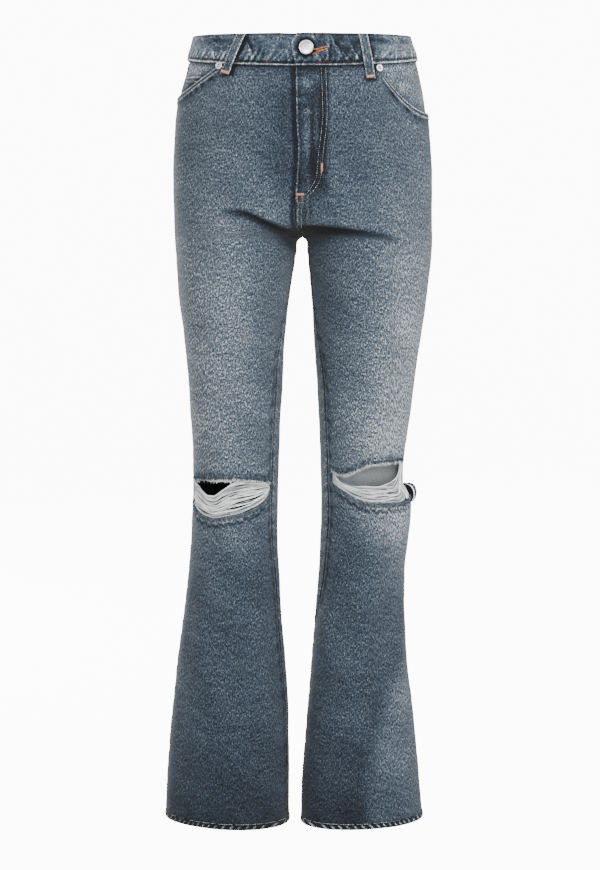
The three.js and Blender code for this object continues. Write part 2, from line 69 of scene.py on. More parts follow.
# Pocket mouths: where each starts, across and up, its drop, and how hollow its curve is.
MOUTH = {RIGHT: (111.8, -41.3, 48.0, 1.0), LEFT: (103.8, -46.7, 59.0, 1.7)}
MOUTH_SPAN = 68.0


class Curve:
    """Monotone cubic through (key, value) pairs."""

    def __init__(self, *pairs):
        pairs = sorted(pairs)
        self.k = np.array([p[0] for p in pairs], float)
        self.v = np.array([p[1] for p in pairs], float)
        h = np.diff(self.k)
        s = np.diff(self.v) / h
        m = np.zeros(len(self.k))
        m[0], m[-1] = s[0], s[-1]
        both = s[:-1] * s[1:] > 0
        m[1:-1][both] = 2 * s[:-1][both] * s[1:][both] / (s[:-1] + s[1:])[both]
        self.m = m

    def __call__(self, x):
        x = np.clip(np.asarray(x, float), self.k[0], self.k[-1])
        i = np.clip(np.searchsorted(self.k, x, side="right") - 1, 0, len(self.k) - 2)
        h = self.k[i + 1] - self.k[i]
        t = (x - self.k[i]) / h
        return (self.v[i] * (2 * t**3 - 3 * t**2 + 1) + h * self.m[i] * (t**3 - 2 * t**2 + t)
                + self.v[i + 1] * (3 * t**2 - 2 * t**3) + h * self.m[i + 1] * (t**3 - t**2))


def sides(rows):
    """Two curves from rows of height, right value, left value."""
    return {RIGHT: Curve(*[(r[0], r[1]) for r in rows]), LEFT: Curve(*[(r[0], r[2]) for r in rows])}


OUTER = sides([
    (0, 151, 149), (-41, 161.5, 161.5), (-88, 173, 171.5), (-143, 178.5, 177.5),
    (-198, 180.5, 181.5), (-277, 178.5, 181), (-337, 175.5, 177), (-421, 166, 165),
    (-506, 158, 154), (-575, 154.5, 144.5), (-618, 154, 140.5), (-645, 154.5, 152.5),
    (-700, 157.5, 149.5), (-745, 161, 144.5), (-790, 165, 144), (-876, 177, 148.5),
    (-963, 185.5, 157.5), (-1050, 192, 166), (-1110, 195, 171)])
INNER = sides([
    (-277, 0, 0), (-279.5, 4, 3.5), (-283, 7, 6), (-300, 9.5, 7.5), (-337, 14.7, 10.5),
    (-421, 24.5, 16), (-506, 29, 22), (-590, 33, 24.7), (-647, 34.5, 26), (-704, 34.6, 24.8),
    (-790, 30.4, 19.2), (-876, 23.4, 12), (-963, 17.7, 5), (-1050, 17.8, -2), (-1110, 17.8, -3.5)])
DEPTHS = [
    (0, 90, 97, 0), (-41, 96, 103, -1), (-88, 102, 112, -3), (-143, 106, 118, -6),
    (-198, 107, 122, -8), (-254, 105, 118, -8), (-277, 103, 112, -8), (-337, 98, 101, -6),
    (-421, 85, 87, -2), (-506, 72, 74, 2), (-590, 63, 63, 5), (-647, 60, 61, 4),
    (-704, 60, 62, 1), (-790, 61, 65, -3), (-876, 65, 68, -5), (-963, 68, 71, -5),
    (-1050, 71, 73, -4), (-1110, 72, 74, -3)]
FRONT_DEPTH, REAR_DEPTH, FORWARD = (Curve(*[(r[0], r[k]) for r in DEPTHS]) for k in (1, 2, 3))
INSEAM_TURN = sides([
    (-277, 0, 0), (-350, 10, 10), (-470, 30, 30), (-640, 31, 33), (-728, 25, 30), (-785, 22, 23),
    (-830, 21, 0), (-900, 20, 0), (-983, 17, 0), (-1110, 13, 0)])

# Rips: span in degrees from the outer side, edges from the inseam's end (0) to the outer end (1).
RIP = {
    RIGHT: dict(
        span=(-146, -12), ends=(-613, -640),
        upper=Curve((0, -616), (.12, -613), (.4, -609), (.7, -609.5), (.9, -612), (1, -613)),
        lower=Curve((0, -627), (.1, -644), (.25, -655), (.45, -663), (.65, -667), (.85, -660), (1, -646)),
        sag=Curve((0, -622), (.12, -615), (.32, -613), (.44, -616), (.54, -624), (.64, -634), (.72, -632),
                  (.8, -625), (.88, -619), (1, -617)),
        base=Curve((0, -627), (.1, -642), (.25, -653), (.45, -661), (.65, -665), (.85, -658), (1, -646))),
    LEFT: dict(
        span=(-139, -8), ends=(-598, -634),
        upper=Curve((0, -598), (.15, -602), (.3, -596), (.45, -587), (.8, -586), (1, -589)),
        lower=Curve((0, -616), (.15, -628), (.35, -643), (.5, -646), (.75, -646), (.9, -643), (1, -638)),
        sag=Curve((0, -603), (.15, -616), (.35, -620), (.7, -619), (.82, -614), (.9, -602), (1, -594)),
        base=Curve((0, -616), (.15, -627), (.35, -642), (.5, -645), (.75, -645), (.85, -641),
                   (.95, -628), (1, -618))),
}


def by_side(side, curves, z):
    return np.where(np.asarray(side) < 0, curves[RIGHT](z), curves[LEFT](z))


def smooth(a, b, v):
    t = np.clip((np.asarray(v, float) - a) / (b - a), 0, 1)
    return t * t * (3 - 2 * t)


def mix(a, b, t):
    return a + (b - a) * t


def bump(v, centre, width):
    return np.exp(-((np.asarray(v, float) - centre) / width) ** 2)


def section(side, z):
    """Centre and half-width of one half's oval, and the angle at which it meets the centre plane."""
    far, near = by_side(side, OUTER, z), by_side(side, INNER, z)
    share = (1 - np.clip((z - CROTCH) / FORK, 0, 1)) ** FORK_BEND
    trunk = far / (1 + share)
    leg = z < CROTCH
    return (np.where(leg, (far + near) / 2, trunk * share), np.where(leg, (far - near) / 2, trunk),
            np.where(leg, 180.0, np.degrees(np.arccos(-share))))


def bare(side, angle, z):
    centre, reach, _ = section(side, z)
    a = np.radians(angle)
    depth = np.where(np.sin(a) < 0, FRONT_DEPTH(z), REAR_DEPTH(z))
    x = SEAM / 2 + centre + reach * np.cos(a)
    return np.stack([side * x, depth * np.sin(a) - FORWARD(z), z + 0 * x], -1)


def skin(side, angle, z, lift=0.0, relief=True):
    """Points of the cloth's outer face, moved out by lift.

    Past the centre the cloth goes on round the other half."""
    side, angle, z, lift = np.broadcast_arrays(*(np.asarray(v, float) for v in (side, angle, z, lift)))
    meet = section(side, z)[2]
    over = (z > CROTCH) & (angle < -meet - 1e-9)
    side, angle = np.where(over, -side, side), np.where(over, -2 * meet - angle, angle)
    point = bare(side, angle, z)
    around = bare(side, angle + .5, z) - bare(side, angle - .5, z)
    down = bare(side, angle, z - 2) - bare(side, angle, np.minimum(z + 2, 0))
    normal = np.cross(down, around)
    normal /= np.linalg.norm(normal, axis=-1, keepdims=True)
    out = normal[..., 0] * np.cos(np.radians(angle)) * side + normal[..., 1] * np.sin(np.radians(angle))
    normal *= np.where(out < 0, -1, 1)[..., None]
    if relief:
        lift = lift + folds(side, angle, point[..., 0], z)
    return point + normal * lift[..., None]


def turn_for(side, angle, z, distance):
    gap = bare(side, angle + 1, z) - bare(side, angle - 1, z)
    return distance / np.maximum(np.linalg.norm(gap, axis=-1) / 2, .2)


def angle_at(side, z, x):
    """Angle on the front at a distance x from the centre plane."""
    centre, reach, _ = section(side, z)
    return -np.degrees(np.arccos(np.clip((x - SEAM / 2 - centre) / reach, -1, 1)))


def band_foot(angle):
    return -mix(BAND_SIDE, BAND_FRONT, np.abs(np.sin(np.radians(angle))) ** 1.5)


def hem_foot(angle):
    return HEM + HEM_TILT * np.cos(np.radians(angle))


def waver(u, v, seed, wavelength):
    """Smooth random waves, about -1 to 1."""
    r = np.random.default_rng(seed)
    total = 0
    for _ in range(7):
        turn, size, phase = r.uniform(0, math.tau), r.uniform(.7, 1.5), r.uniform(0, math.tau)
        along = u * math.cos(turn) + v * math.sin(turn)
        total = total + np.sin(math.tau * along / (wavelength * size) + phase)
    return total / 3.2


# Folds pressed in across the lap: height by distance from the centre.
LAP_FOLD = {
    RIGHT: Curve((0, -272), (8, -270.5), (24, -267), (40, -260), (55, -253), (72, -245), (88, -241),
                 (105, -240), (135, -243)),
    LEFT: Curve((0, -263), (12, -263), (37, -264.5), (78, -268.5), (112, -274), (140, -283)),
}
LAP_REACH = {RIGHT: (78, 128), LEFT: (105, 150)}


def folds(side, angle, x, z):
    """Relief of the cloth in millimetres, out positive."""
    ax = np.abs(x)
    front = np.sin(np.radians(angle)) < 0
    total = .5 * waver(ax + 400 * (side > 0), z, 3, 90) + .25 * waver(angle * 1.5, z, 4, 38)
    gap = z - by_side(side, LAP_FOLD, ax)
    reach = np.where(side < 0, 1 - smooth(*LAP_REACH[RIGHT], ax), 1 - smooth(*LAP_REACH[LEFT], ax))
    deep = mix(.35, 1, 1 - smooth(20, 130, ax))
    under = np.where(gap < 0, bump(gap, 0, 15), bump(gap, 0, 3.2))
    facing = smooth(0, .5, -np.sin(np.radians(angle)))
    total = total + facing * reach * deep * (-5.0 * under + 2.2 * bump(gap, 11, 9))
    # two drag lines below the seat
    seat = np.where(front, 0, bump(z + 286 + .12 * ax, 0, 7) * (1 - smooth(95, 140, ax)))
    thigh = np.where(front, 0, 1.6 * bump(z + 312 + .2 * ax, 0, 9) * (1 - smooth(60, 120, ax)))
    total = total - 3.0 * seat - thigh
    # soft breaks behind and beside the knees
    for k, (height, tilt) in enumerate(((-585, .18), (-618, -.15), (-652, .2), (-690, -.16))):
        line = z - height - tilt * (ax - 90)
        depth = np.where(front, .5, 2.0)
        total = total - depth * bump(line, 0, 8 + k) * bump(np.cos(np.radians(angle)), .1, .8)
    # long folds down the flare
    shin = smooth(-700, -800, z)
    total = total + shin * 1.6 * np.cos(np.radians(angle * 3 + 40 * side)) * smooth(-720, -1000, z)
    right_edge = bump(angle, -34, 10) * smooth(-740, -800, z) * (1 - smooth(-1000, -1060, z))
    left_edge = bump(angle, mix(-22, -58, smooth(-780, -1060, z)), 12) * smooth(-740, -820, z)
    total = total + np.where(side < 0, -1.6 * right_edge, 2.2 * left_edge)
    return total * mix(1, fork_calm(angle), smooth(-300, -284, z))


def fork_calm(angle):
    """0 where the two halves face each other between the legs, 1 away from there."""
    a = np.radians(angle)
    return np.where(np.cos(a) < 0, smooth(.45, .92, np.abs(np.sin(a))), 1)


# ---------------------------------------------------------------- shade of the wash, with painted light and shade
HEIGHT_SHADE = Curve((0, .40), (-100, .41), (-200, .42), (-262, .43), (-330, .46), (-450, .47), (-600, .48),
                     (-680, .42), (-740, .36), (-850, .32), (-960, .275), (-1050, .205),
                     (-1085, .15), (-1110, .10))
# Worn and dark places, among them painted shade on the inner thighs and painted light on the right shin's
# outer fold: distance from the centre, height, half-width, half-height, strength.
WASH_AND_PAINTED_LIGHT_SPOTS = {
    RIGHT: ((110, -400, 60, 170, .10), (55, -430, 32, 190, -.07), (128, -670, 45, 30, .03),
            (30, -300, 30, 60, -.05), (40, -130, 45, 90, -.07), (150, -150, 40, 80, -.02),
            (175, -900, 14, 130, .06), (150, -533, 30, 60, .06), (40, -533, 26, 60, -.01),
            (24, -150, 22, 90, -.08), (95, -1030, 40, 60, -.04), (95, -820, 40, 70, -.04),
            (28, -238, 22, 22, .09), (62, -745, 34, 45, -.05)),
    LEFT: ((150, -440, 62, 190, .19), (20, -400, 36, 190, -.11), (132, -672, 34, 44, .19),
           (140, -130, 60, 90, .06), (50, -760, 40, 120, -.03), (85, -150, 85, 95, -.10),
           (85, -370, 36, 110, -.08), (116, -550, 40, 36, .13), (140, -740, 24, 50, .08),
           (30, -820, 20, 50, .05), (80, -1050, 30, 60, -.05), (70, -710, 30, 60, -.06)),
}
BACK_SPOTS = ((95, -210, 70, 90, .10), (95, -610, 50, 60, .06))


def spot(x, z, cx, cz, rx, rz, amount):
    return amount * np.exp(-((x - cx) / rx) ** 2 - ((z - cz) / rz) ** 2)


def spots(x, z, rows):
    return sum(spot(x, z, *row) for row in rows)


def wash_with_painted_light(side, angle, x, z):
    """How light the denim is worn, 0 dark indigo to 1 nearly white, with painted shade and light on the lap
    folds, inner thighs and shins.
    """
    a = np.radians(angle)
    front = np.sin(a) < .14
    ax = np.abs(x)
    tone = HEIGHT_SHADE(z) + .025 * waver(x, z, 11, 70) + .02 * waver(x, z, 12, 24)
    right, left = (spots(ax, z, WASH_AND_PAINTED_LIGHT_SPOTS[half]) for half in (RIGHT, LEFT))
    # the left shin lighter outside a diagonal line: painted light on the outer face of the fold there
    diagonal = mix(150, 84, smooth(-780, -1060, z))
    left = left + .17 * smooth(-8, 22, ax - diagonal) * smooth(-690, -760, z)
    behind = smooth(.1, .85, np.sin(a))
    tone = tone + (1 - behind) * np.where(side < 0, right, left)
    tone = tone + behind * (spots(ax, z, BACK_SPOTS) - .01)
    # painted shade in the lap folds and painted shadow under them, with a painted highlight above each fold
    gap = z - by_side(side, LAP_FOLD, ax)
    reach = np.where(side < 0, 1 - smooth(85, 135, ax), 1 - smooth(100, 150, ax))
    deep = mix(.35, 1, 1 - smooth(30, 130, ax))
    tall = mix(12, 6, smooth(10, 100, ax))
    line = np.where(gap < 0, bump(gap, 0, tall), bump(gap, 0, 3.2))
    beneath = bump(gap, -13, 13) * (1 - smooth(10, 42, ax))
    fold = -.60 * line - .20 * beneath + .07 * bump(gap, 9, 6)
    tone = tone + np.where(front, reach * deep * fold, 0)
    return tone


# ---------------------------------------------------------------- meshes
made = {}                      # every object by its name
LINING_OFFSET = 3000           # moves the weave of the inner face away from that of the outer one
THREAD_FACETS = 4


def add_mesh(name, verts, faces, slots, tone, uv, mats):
    mesh = bpy.data.meshes.new(name)
    verts = np.asarray(verts, np.float32).reshape(-1, 3) * MM
    faces = np.asarray(faces, np.int32)
    mesh.vertices.add(len(verts))
    mesh.vertices.foreach_set("co", verts.ravel())
    mesh.loops.add(faces.size)
    mesh.loops.foreach_set("vertex_index", faces.ravel())
    mesh.polygons.add(len(faces))
    mesh.polygons.foreach_set("loop_start", np.arange(0, faces.size, faces.shape[1], dtype=np.int32))
    if slots is not None:
        mesh.polygons.foreach_set("material_index", np.asarray(slots, np.int32))
    mesh.update(calc_edges=True)
    if tone is not None:
        layer = mesh.attributes.new("tone", "FLOAT", "POINT")
        layer.data.foreach_set("value", np.asarray(tone, np.float32).ravel())
    if uv is not None:
        layer = mesh.uv_layers.new(name="weave")
        layer.data.foreach_set("uv", (np.asarray(uv, np.float32).reshape(-1, 2)[faces.ravel()] * MM).ravel())
    for m in mats:
        mesh.materials.append(m)
    mesh.polygons.foreach_set("use_smooth", np.full(len(faces), True))
    mesh.validate()
    obj = bpy.data.objects.new(name, mesh)
    bpy.context.scene.collection.objects.link(obj)
    made[name] = obj
    return obj


def cloth(name, side, angle, z, surface, top, thickness, tone_of, mats, inside, open_cells=None,
          closed=False, rounding=(), edge_wear=0.0):
    """Solid cloth over a grid of angles and heights.

    surface(side, angle, z, lift) gives points, tone_of the shade of the outer face, inside that of
    the inner one. rounding lists the share of the thickness kept at the first points in from each
    edge, and edge_wear is how much lighter the edges are."""
    rows, columns = z.shape[0] - 1, z.shape[1] - (0 if closed else 1)
    full = np.ones(z.shape)
    worn = np.zeros(z.shape)
    for k, share in enumerate(rounding):
        for ring in (full[k, :], full[-1 - k, :]):
            ring[:] = np.minimum(ring, share)
        worn[k, :] = worn[-1 - k, :] = 1 - k / len(rounding)
        if not closed:
            full[:, k] = np.minimum(full[:, k], share)
            full[:, -1 - k] = np.minimum(full[:, -1 - k], share)
            worn[:, k] = np.maximum(worn[:, k], 1 - k / len(rounding))
            worn[:, -1 - k] = np.maximum(worn[:, -1 - k], 1 - k / len(rounding))
    middle = top - thickness / 2
    outer = surface(side, angle, z, middle + full * thickness / 2)
    inner = surface(side, angle, z, middle - full * thickness / 2)
    ids = np.arange(z.size).reshape(z.shape)
    ids = np.concatenate([ids, ids[:, :1]], 1) if closed else ids
    cell = np.ones((rows, columns), bool) if open_cells is None else ~open_cells
    a, b, c, d = ids[:-1, :-1], ids[1:, :-1], ids[1:, 1:], ids[:-1, 1:]
    outside = np.stack([a, b, c, d], -1)[cell]
    faces = [outside, outside[:, ::-1] + z.size]
    tall = np.pad(cell, ((1, 1), (0, 0)))
    walls = [(d, a, cell & ~tall[:-2]), (b, c, cell & ~tall[2:])]
    if not closed:
        wide = np.pad(cell, ((0, 0), (1, 1)))
        walls += [(a, b, cell & ~wide[:, :-2]), (c, d, cell & ~wide[:, 2:])]
    for p, q, where in walls:
        p, q = p[where], q[where]
        faces.append(np.stack([p, p + z.size, q + z.size, q], -1))
    slots = np.concatenate([np.full(len(f), 1 if k == 1 else 0) for k, f in enumerate(faces)])
    faces = np.concatenate(faces)
    verts = np.concatenate([outer.reshape(-1, 3), inner.reshape(-1, 3)])
    p0, p1, p2, p3 = (verts[faces[:, k]] for k in range(4))
    if (np.cross(p1, p2) * p0).sum() + (np.cross(p2, p3) * p0).sum() < 0:
        faces = faces[:, ::-1]
    tone = tone_of(side, angle, z, outer) + edge_wear * worn
    lining = inside(side, angle, z)
    u = np.cumsum(np.pad(np.linalg.norm(np.diff(outer, axis=1), axis=-1), ((0, 0), (1, 0))), 1)
    v = np.cumsum(np.pad(np.linalg.norm(np.diff(outer, axis=0), axis=-1), ((1, 0), (0, 0))), 0)
    middle_column = z.shape[1] // 2
    uv = np.stack([u - u[:, middle_column:middle_column + 1], v], -1).reshape(-1, 2)
    area = .5e-6 * (np.linalg.norm(np.cross(p2 - p0, p3 - p1), axis=1)).sum()
    print(f"cloth {name}: {area / 2:.4f} m2, {len(faces) * 2} triangles")
    return add_mesh(name, verts, faces, slots, np.concatenate([tone.ravel(), lining.ravel()]),
                    np.concatenate([uv, uv + LINING_OFFSET]), mats)


def strands(name, paths, radius, mat, tones, taper=.5):
    """Thin threads, one to each row of paths (count, points, 3), joined into one mesh."""
    paths = np.asarray(paths, float)
    count, points, _ = paths.shape
    along = np.gradient(paths, axis=1)
    along /= np.maximum(np.linalg.norm(along, axis=-1, keepdims=True), 1e-9)
    ref = np.broadcast_to(np.array([.13, 1.0, .21]), along.shape)
    one = np.cross(along, ref)
    one /= np.linalg.norm(one, axis=-1, keepdims=True)
    two = np.cross(along, one)
    size = np.broadcast_to(np.asarray(radius, float).reshape(-1, 1), (count, points)).copy()
    size[:, 0] *= taper
    size[:, -1] *= taper
    ring = []
    for k in range(THREAD_FACETS):
        a = math.tau * k / THREAD_FACETS
        ring.append(paths + size[..., None] * (math.cos(a) * one + math.sin(a) * two))
    verts = np.stack(ring, 2)
    ids = np.arange(count * points * THREAD_FACETS).reshape(count, points, THREAD_FACETS)
    nxt = np.roll(ids, -1, 2)
    quads = np.stack([ids[:, :-1], nxt[:, :-1], nxt[:, 1:], ids[:, 1:]], -1).reshape(-1, 4)
    faces = np.concatenate([quads, ids[:, 0, ::-1], ids[:, -1]])
    tones = np.asarray(tones, float)
    tones = tones[:, None] if tones.ndim == 1 else tones
    tone = np.broadcast_to(tones[..., None], ids.shape)
    return add_mesh(name, verts, faces, None, tone, None, [mat])


def stitch_run(points, pitch, length):
    """Short thread paths along a line of points that lie on the cloth."""
    points = np.asarray(points, float)
    run = np.concatenate([[0], np.cumsum(np.linalg.norm(np.diff(points, axis=0), axis=1))])
    start = np.arange(.3, run[-1] - length, pitch)
    at = start[:, None] + np.array([0, .5, 1]) * length
    return np.stack([np.interp(at, run, points[:, k]) for k in range(3)], -1)


# ---------------------------------------------------------------- where things lie on the garment
LAP_LINE = Curve((-262, 9.5), (-216, 8.9), (-194, 7.6), (-156, 5.3), (-123, 7.5), (-45, 8.9))
FLY_TUCK = 12.0                # how far the right front goes in under the left one
FLY_RISE = 2.1
# Worn and dark places on the fly, some of the dark ones painted shade beside its pale strips; laid out as
# the spots on the legs; below 0 is past the centre.
FLY_SPOTS = (
    (7, -68, 8, 10, .26), (19, -58, 6, 6, .16), (2, -64, 4, 5, .12), (1, -91, 5, 2.5, .22),
    (6, -106, 6, 2.5, .26), (6.5, -140, 6.5, 30, .27), (19, -135, 3.5, 28, .20), (14, -175, 6, 22, -.22),
    (8, -200, 4, 12, .14), (12.5, -130, 2, 34, -.24), (33, -140, 3, 40, .10), (26, -90, 5, 28, -.10),
    (27, -134, 6, 24, -.16), (-3, -240, 2, 22, -.2), (4, -242, 2.4, 24, -.22),
    (11, -238, 2.0, 20, -.20), (7.5, -240, 1.2, 20, .16))
J_STITCH = Curve((-219, 8), (-214, 13), (-206, 19), (-194, 24.5), (-162, 27.5), (-107, 33), (-45, 31))


def span(side, angle, z):
    """Millimetres of cloth in one degree."""
    return np.maximum(np.linalg.norm(bare(side, angle + .5, z) - bare(side, angle - .5, z), axis=-1), .2)


def centre_angle(side, z, x):
    """Angle on the front at a distance x from the centre plane, negative past it."""
    own = angle_at(side, z, np.maximum(x, SEAM / 2))
    past = -2 * section(side, z)[2] - angle_at(-side, z, np.maximum(-x, SEAM / 2))
    return np.where(x >= 0, own, past)


def inner_edge(side, z):
    lap = LAP_LINE(z) * (1 - smooth(*LAP_END, z))
    x = lap - FLY_TUCK * smooth(-240, -218, z) if side == RIGHT else -lap
    return np.where(z < CROTCH, -180 + INSEAM_TURN[side](z), centre_angle(side, z, x))


def mouth_start(side):
    return float(angle_at(side, MOUTH[side][1], MOUTH[side][0]))


def mouth_height(side, angle):
    start, top, drop, hollow = MOUTH[side]
    z = np.full(np.shape(angle), -70.0)
    for _ in range(5):
        x = OUTER[side](z) * np.cos(np.radians(angle))
        z = top - drop * (1 - (1 - np.clip((x - start) / MOUTH_SPAN, 0, 1)) ** hollow)
    return z


def front_top(side, angle):
    return np.where(angle <= mouth_start(side), band_foot(angle) - .5, mouth_height(side, angle))


def front_angle(side, u, z):
    """Angle of a fraction u of the way from the centre seam or inseam to the side seam."""
    c = u * 11
    edge = inner_edge(side, z)
    first = edge + turn_for(side, edge, z, np.where(z > CROTCH, TAKEN - SEAM / 2, TAKEN))
    last = SIDE_SEAM - turn_for(side, SIDE_SEAM, z, TAKEN)
    start = mouth_start(side)
    a, b = RIP[side]["span"]
    even = mix(first, last, u)
    crowded = np.where(c <= 6, mix(first, start, c / 6), mix(start, last, (c - 6) / 5))
    across = mix(a, b, (c - 1) / 9)
    in_rip = np.where(c < 1, mix(first, a, c), np.where(c > 10, mix(b, last, c - 10), across))
    knee = smooth(-535, -582, z) * (1 - smooth(-700, -735, z))
    return mix(mix(even, crowded, smooth(-240, -130, z)), in_rip, knee)


def rip_edge(side, curve, beyond, angle):
    a, b = RIP[side]["span"]
    t = (angle - a) / (b - a)
    outside = np.maximum(np.maximum(-t, t - 1), 0)
    return mix(RIP[side][curve](t), beyond, smooth(0, .12, outside))


def puckers(along_seam, off_seam, phase=0.0):
    """Short slanting dents beside a seam, 0 to 1."""
    slant = math.tau * (along_seam / 23 + off_seam / 34 + phase)
    wave = .5 + .5 * np.cos(slant + 1.2 * np.sin(along_seam / 61))
    return wave ** 3 * bump(off_seam, 6.5, 5)


def front_form(side, angle, z):
    """Relief and tone of a front panel beside its seams and edges: pale worn edges, a darker fly, and
    painted shade in the seams' grooves, the puckers' dents, under the waistband, beside the J stitch and
    under the fly's lap.
    """
    per = span(side, angle, z)
    inside = (angle - inner_edge(side, z)) * per
    outside = (SIDE_SEAM - angle) * per
    below = front_top(side, angle) - z
    meet = section(side, z)[2]
    x = np.where(angle < -meet, -1.0, bare(side, np.maximum(angle, -meet), z)[..., 0] * side)
    leg = z < -262
    seam = leg | (z < FLY_FOOT - 8)
    lift = np.where(seam, -1.0 * bump(inside, 0, 1.5) + .7 * bump(inside, 4, 2.4), 0)
    lift = lift * mix(1, fork_calm(angle), smooth(-300, -284, z))
    # painted shade in the seam's groove and beyond its ridge, painted highlight on the ridge
    ridge = -.34 * bump(inside, 0, 1.3) + .16 * bump(inside, 2.9, 1.3) - .12 * bump(inside, 6.5, 1.6)
    shade = np.where(seam, ridge, 0)
    dent = puckers(z, inside) * (leg & (z > -1090)) + .8 * puckers(z, outside, .4) * (z < -120)
    lift = lift - .9 * bump(outside, 0, 1.6) + .6 * bump(outside, 4.2, 2.6) - .8 * dent
    # painted shade in the side seam's groove and the puckers' dents, painted highlight on the side seam's
    # ridge
    shade = shade - .3 * bump(outside, 0, 1.3) + .1 * bump(outside, 3, 1.5) - .2 * dent
    mouth = angle > mouth_start(side)
    bound = .9 * (1 - smooth(8.5, 11, below)) - .7 * bump(below, 0, 1.1)
    lift = lift + np.where(mouth, bound, -.9 * bump(below, 0, 2))
    ticks = (.5 + .5 * np.cos(math.tau * angle * per / 5.2)) ** 2
    # along the pocket mouth: a pale worn edge, light and dark lines and dark ticks; elsewhere painted shade
    # under the waistband
    shade = shade + np.where(
        mouth,
        .62 * bump(below, .5, 1.1) - .40 * bump(below, 3.2, 1.3) + .30 * bump(below, 7.5, 1.2)
        - .42 * bump(below, 11.5, 3) * ticks - .10 * bump(below, 16, 6),
        -.34 * bump(below, 0, 2.2) - .08 * bump(below, 4, 5))
    if side == LEFT:
        rise = (1 - smooth(FLY_WIDTH, FLY_WIDTH + 10, x)) * smooth(FLY_FOOT - 25, FLY_FOOT, z)
        lap = z > FLY_FOOT - 4
        lift = lift + np.where(z < CROTCH, 0, FLY_RISE * rise) - np.where(lap, .9 * bump(inside, 0, .9), 0)
        fly = smooth(FLY_FOOT - 8, FLY_FOOT + 20, z) * (1 - smooth(30, 40, x))
        shade = shade + np.where(lap, .62 * bump(inside, .4, 1.3) - .2 * bump(inside, 3.4, 1.6), 0)
        shade = shade - .20 * fly
        shade = shade + spots(x, z, FLY_SPOTS)
        line = J_STITCH(z)
        drawn = smooth(FLY_FOOT, FLY_FOOT + 6, z)
        lift = lift - .5 * drawn * (bump(x, line, 1.1) + bump(x, line - 6, 1.1))
        # painted shade beside the grooves of the J stitch
        shade = shade - .20 * drawn * (bump(x, line + 1.2, 1.3) + bump(x, line - 6, 1.5))
    else:
        # on the right front: a painted shadow of the left front's lap along its edge, and fainter painted
        # shade beyond it
        covered = smooth(-276, -262, z)
        lap_shadow_strip = 1 - smooth(5.5, 9, x - LAP_LINE(z))
        shade = shade - .30 * covered * lap_shadow_strip - .06 * covered * bump(x, LAP_LINE(z) + 14, 12)
    return lift, shade


def front_point(side, angle, z, lift=0.0):
    return skin(side, angle, z, lift + front_form(side, angle, z)[0])


def back_edge(side, z):
    return np.where(z < CROTCH, 180 + INSEAM_TURN[side](z), section(side, z)[2])


def back_angle(side, u, z):
    first = SIDE_SEAM + turn_for(side, SIDE_SEAM, z, TAKEN)
    edge = back_edge(side, z)
    return mix(first, edge - turn_for(side, edge, z, np.where(z > CROTCH, TAKEN - SEAM / 2, TAKEN)), u)


YOKE = (-80.0, -122.0)         # the yoke seam's height at the side and at the centre


def yoke_foot(side, angle):
    t = np.clip((angle - SIDE_SEAM) / (section(side, YOKE[0])[2] - SIDE_SEAM), 0, 1)
    return mix(*YOKE, t)


def back_form(side, angle, z):
    per = span(side, angle, z)
    inside = (back_edge(side, z) - angle) * per
    outside = (angle - SIDE_SEAM) * per
    seam = np.abs(yoke_foot(side, angle) - z)
    band = band_foot(angle) - z
    dent = (puckers(z, inside) * (z < -262) + .8 * puckers(z, outside, .4) * (z < -120)) * (z > -1090)
    lift = (-1.0 * bump(inside, 0, 1.5) + .8 * bump(inside, 4, 2.4) - .9 * bump(outside, 0, 1.6)
            + .5 * bump(outside, 4.2, 2.6) - .9 * bump(seam, 0, 1.5) + .5 * bump(seam, 4, 2.2)
            - .9 * bump(band, 0, 2) - .8 * dent)
    # painted shade in the seams' grooves, the puckers' dents and under the waistband, painted highlights on
    # the seams' ridges
    shade = (-.34 * bump(inside, 0, 1.3) + .16 * bump(inside, 2.9, 1.3) + .12 * bump(inside, 8, 1.3)
             - .3 * bump(outside, 0, 1.3) - .34 * bump(seam, 0, 1.3) + .16 * bump(seam, 2.8, 1.3)
             - .30 * bump(band, 0, 2.2) - .2 * dent)
    return lift, shade


def back_point(side, angle, z, lift=0.0):
    return skin(side, angle, z, lift + back_form(side, angle, z)[0])


def rows_between(keys):
    """Height of a row at an angle, from (row, height or function of the angle) pairs."""
    at = np.array([k[0] for k in keys], float)

    def level(i, angle):
        i, angle = np.broadcast_arrays(np.asarray(i, float), np.asarray(angle, float))
        heights = np.stack([np.broadcast_to(f(angle) if callable(f) else f, angle.shape) for _, f in keys])
        k = np.clip(np.searchsorted(at, i, side="right") - 1, 0, len(keys) - 2)
        upper = np.take_along_axis(heights, k[None], 0)[0]
        lower = np.take_along_axis(heights, k[None] + 1, 0)[0]
        return mix(upper, lower, (i - at[k]) / (at[k + 1] - at[k]))
    return level


def grid(rows, columns, level, angle_of, closed=False):
    i, j = np.meshgrid(np.arange(rows + 1.0), np.arange(columns if closed else columns + 1.0), indexing="ij")
    angle = angle_of(j / columns, level(i, np.full(i.shape, -90.0)))
    for _ in range(2):
        angle = angle_of(j / columns, level(i, angle))
    return angle, level(i, angle)


# ---------------------------------------------------------------- materials
DENIM_RAMP = ((0, (4, 8, 14)), (.12, (24, 34, 46)), (.25, (48, 62, 78)), (.40, (77, 94, 111)),
              (.55, (108, 123, 137)), (.70, (147, 157, 166)), (.85, (200, 208, 213)), (1, (290, 298, 302)))
DENIM_GAIN = .38               # how much light the cloth gives back, against white paper


def linear(colour, gain=1.0):
    """Linear RGBA of a colour given as 0 to 255."""
    c = np.asarray(colour, float) / 255
    return (*(np.where(c <= .04045, c / 12.92, ((c + .055) / 1.055) ** 2.4) * gain).tolist(), 1.0)


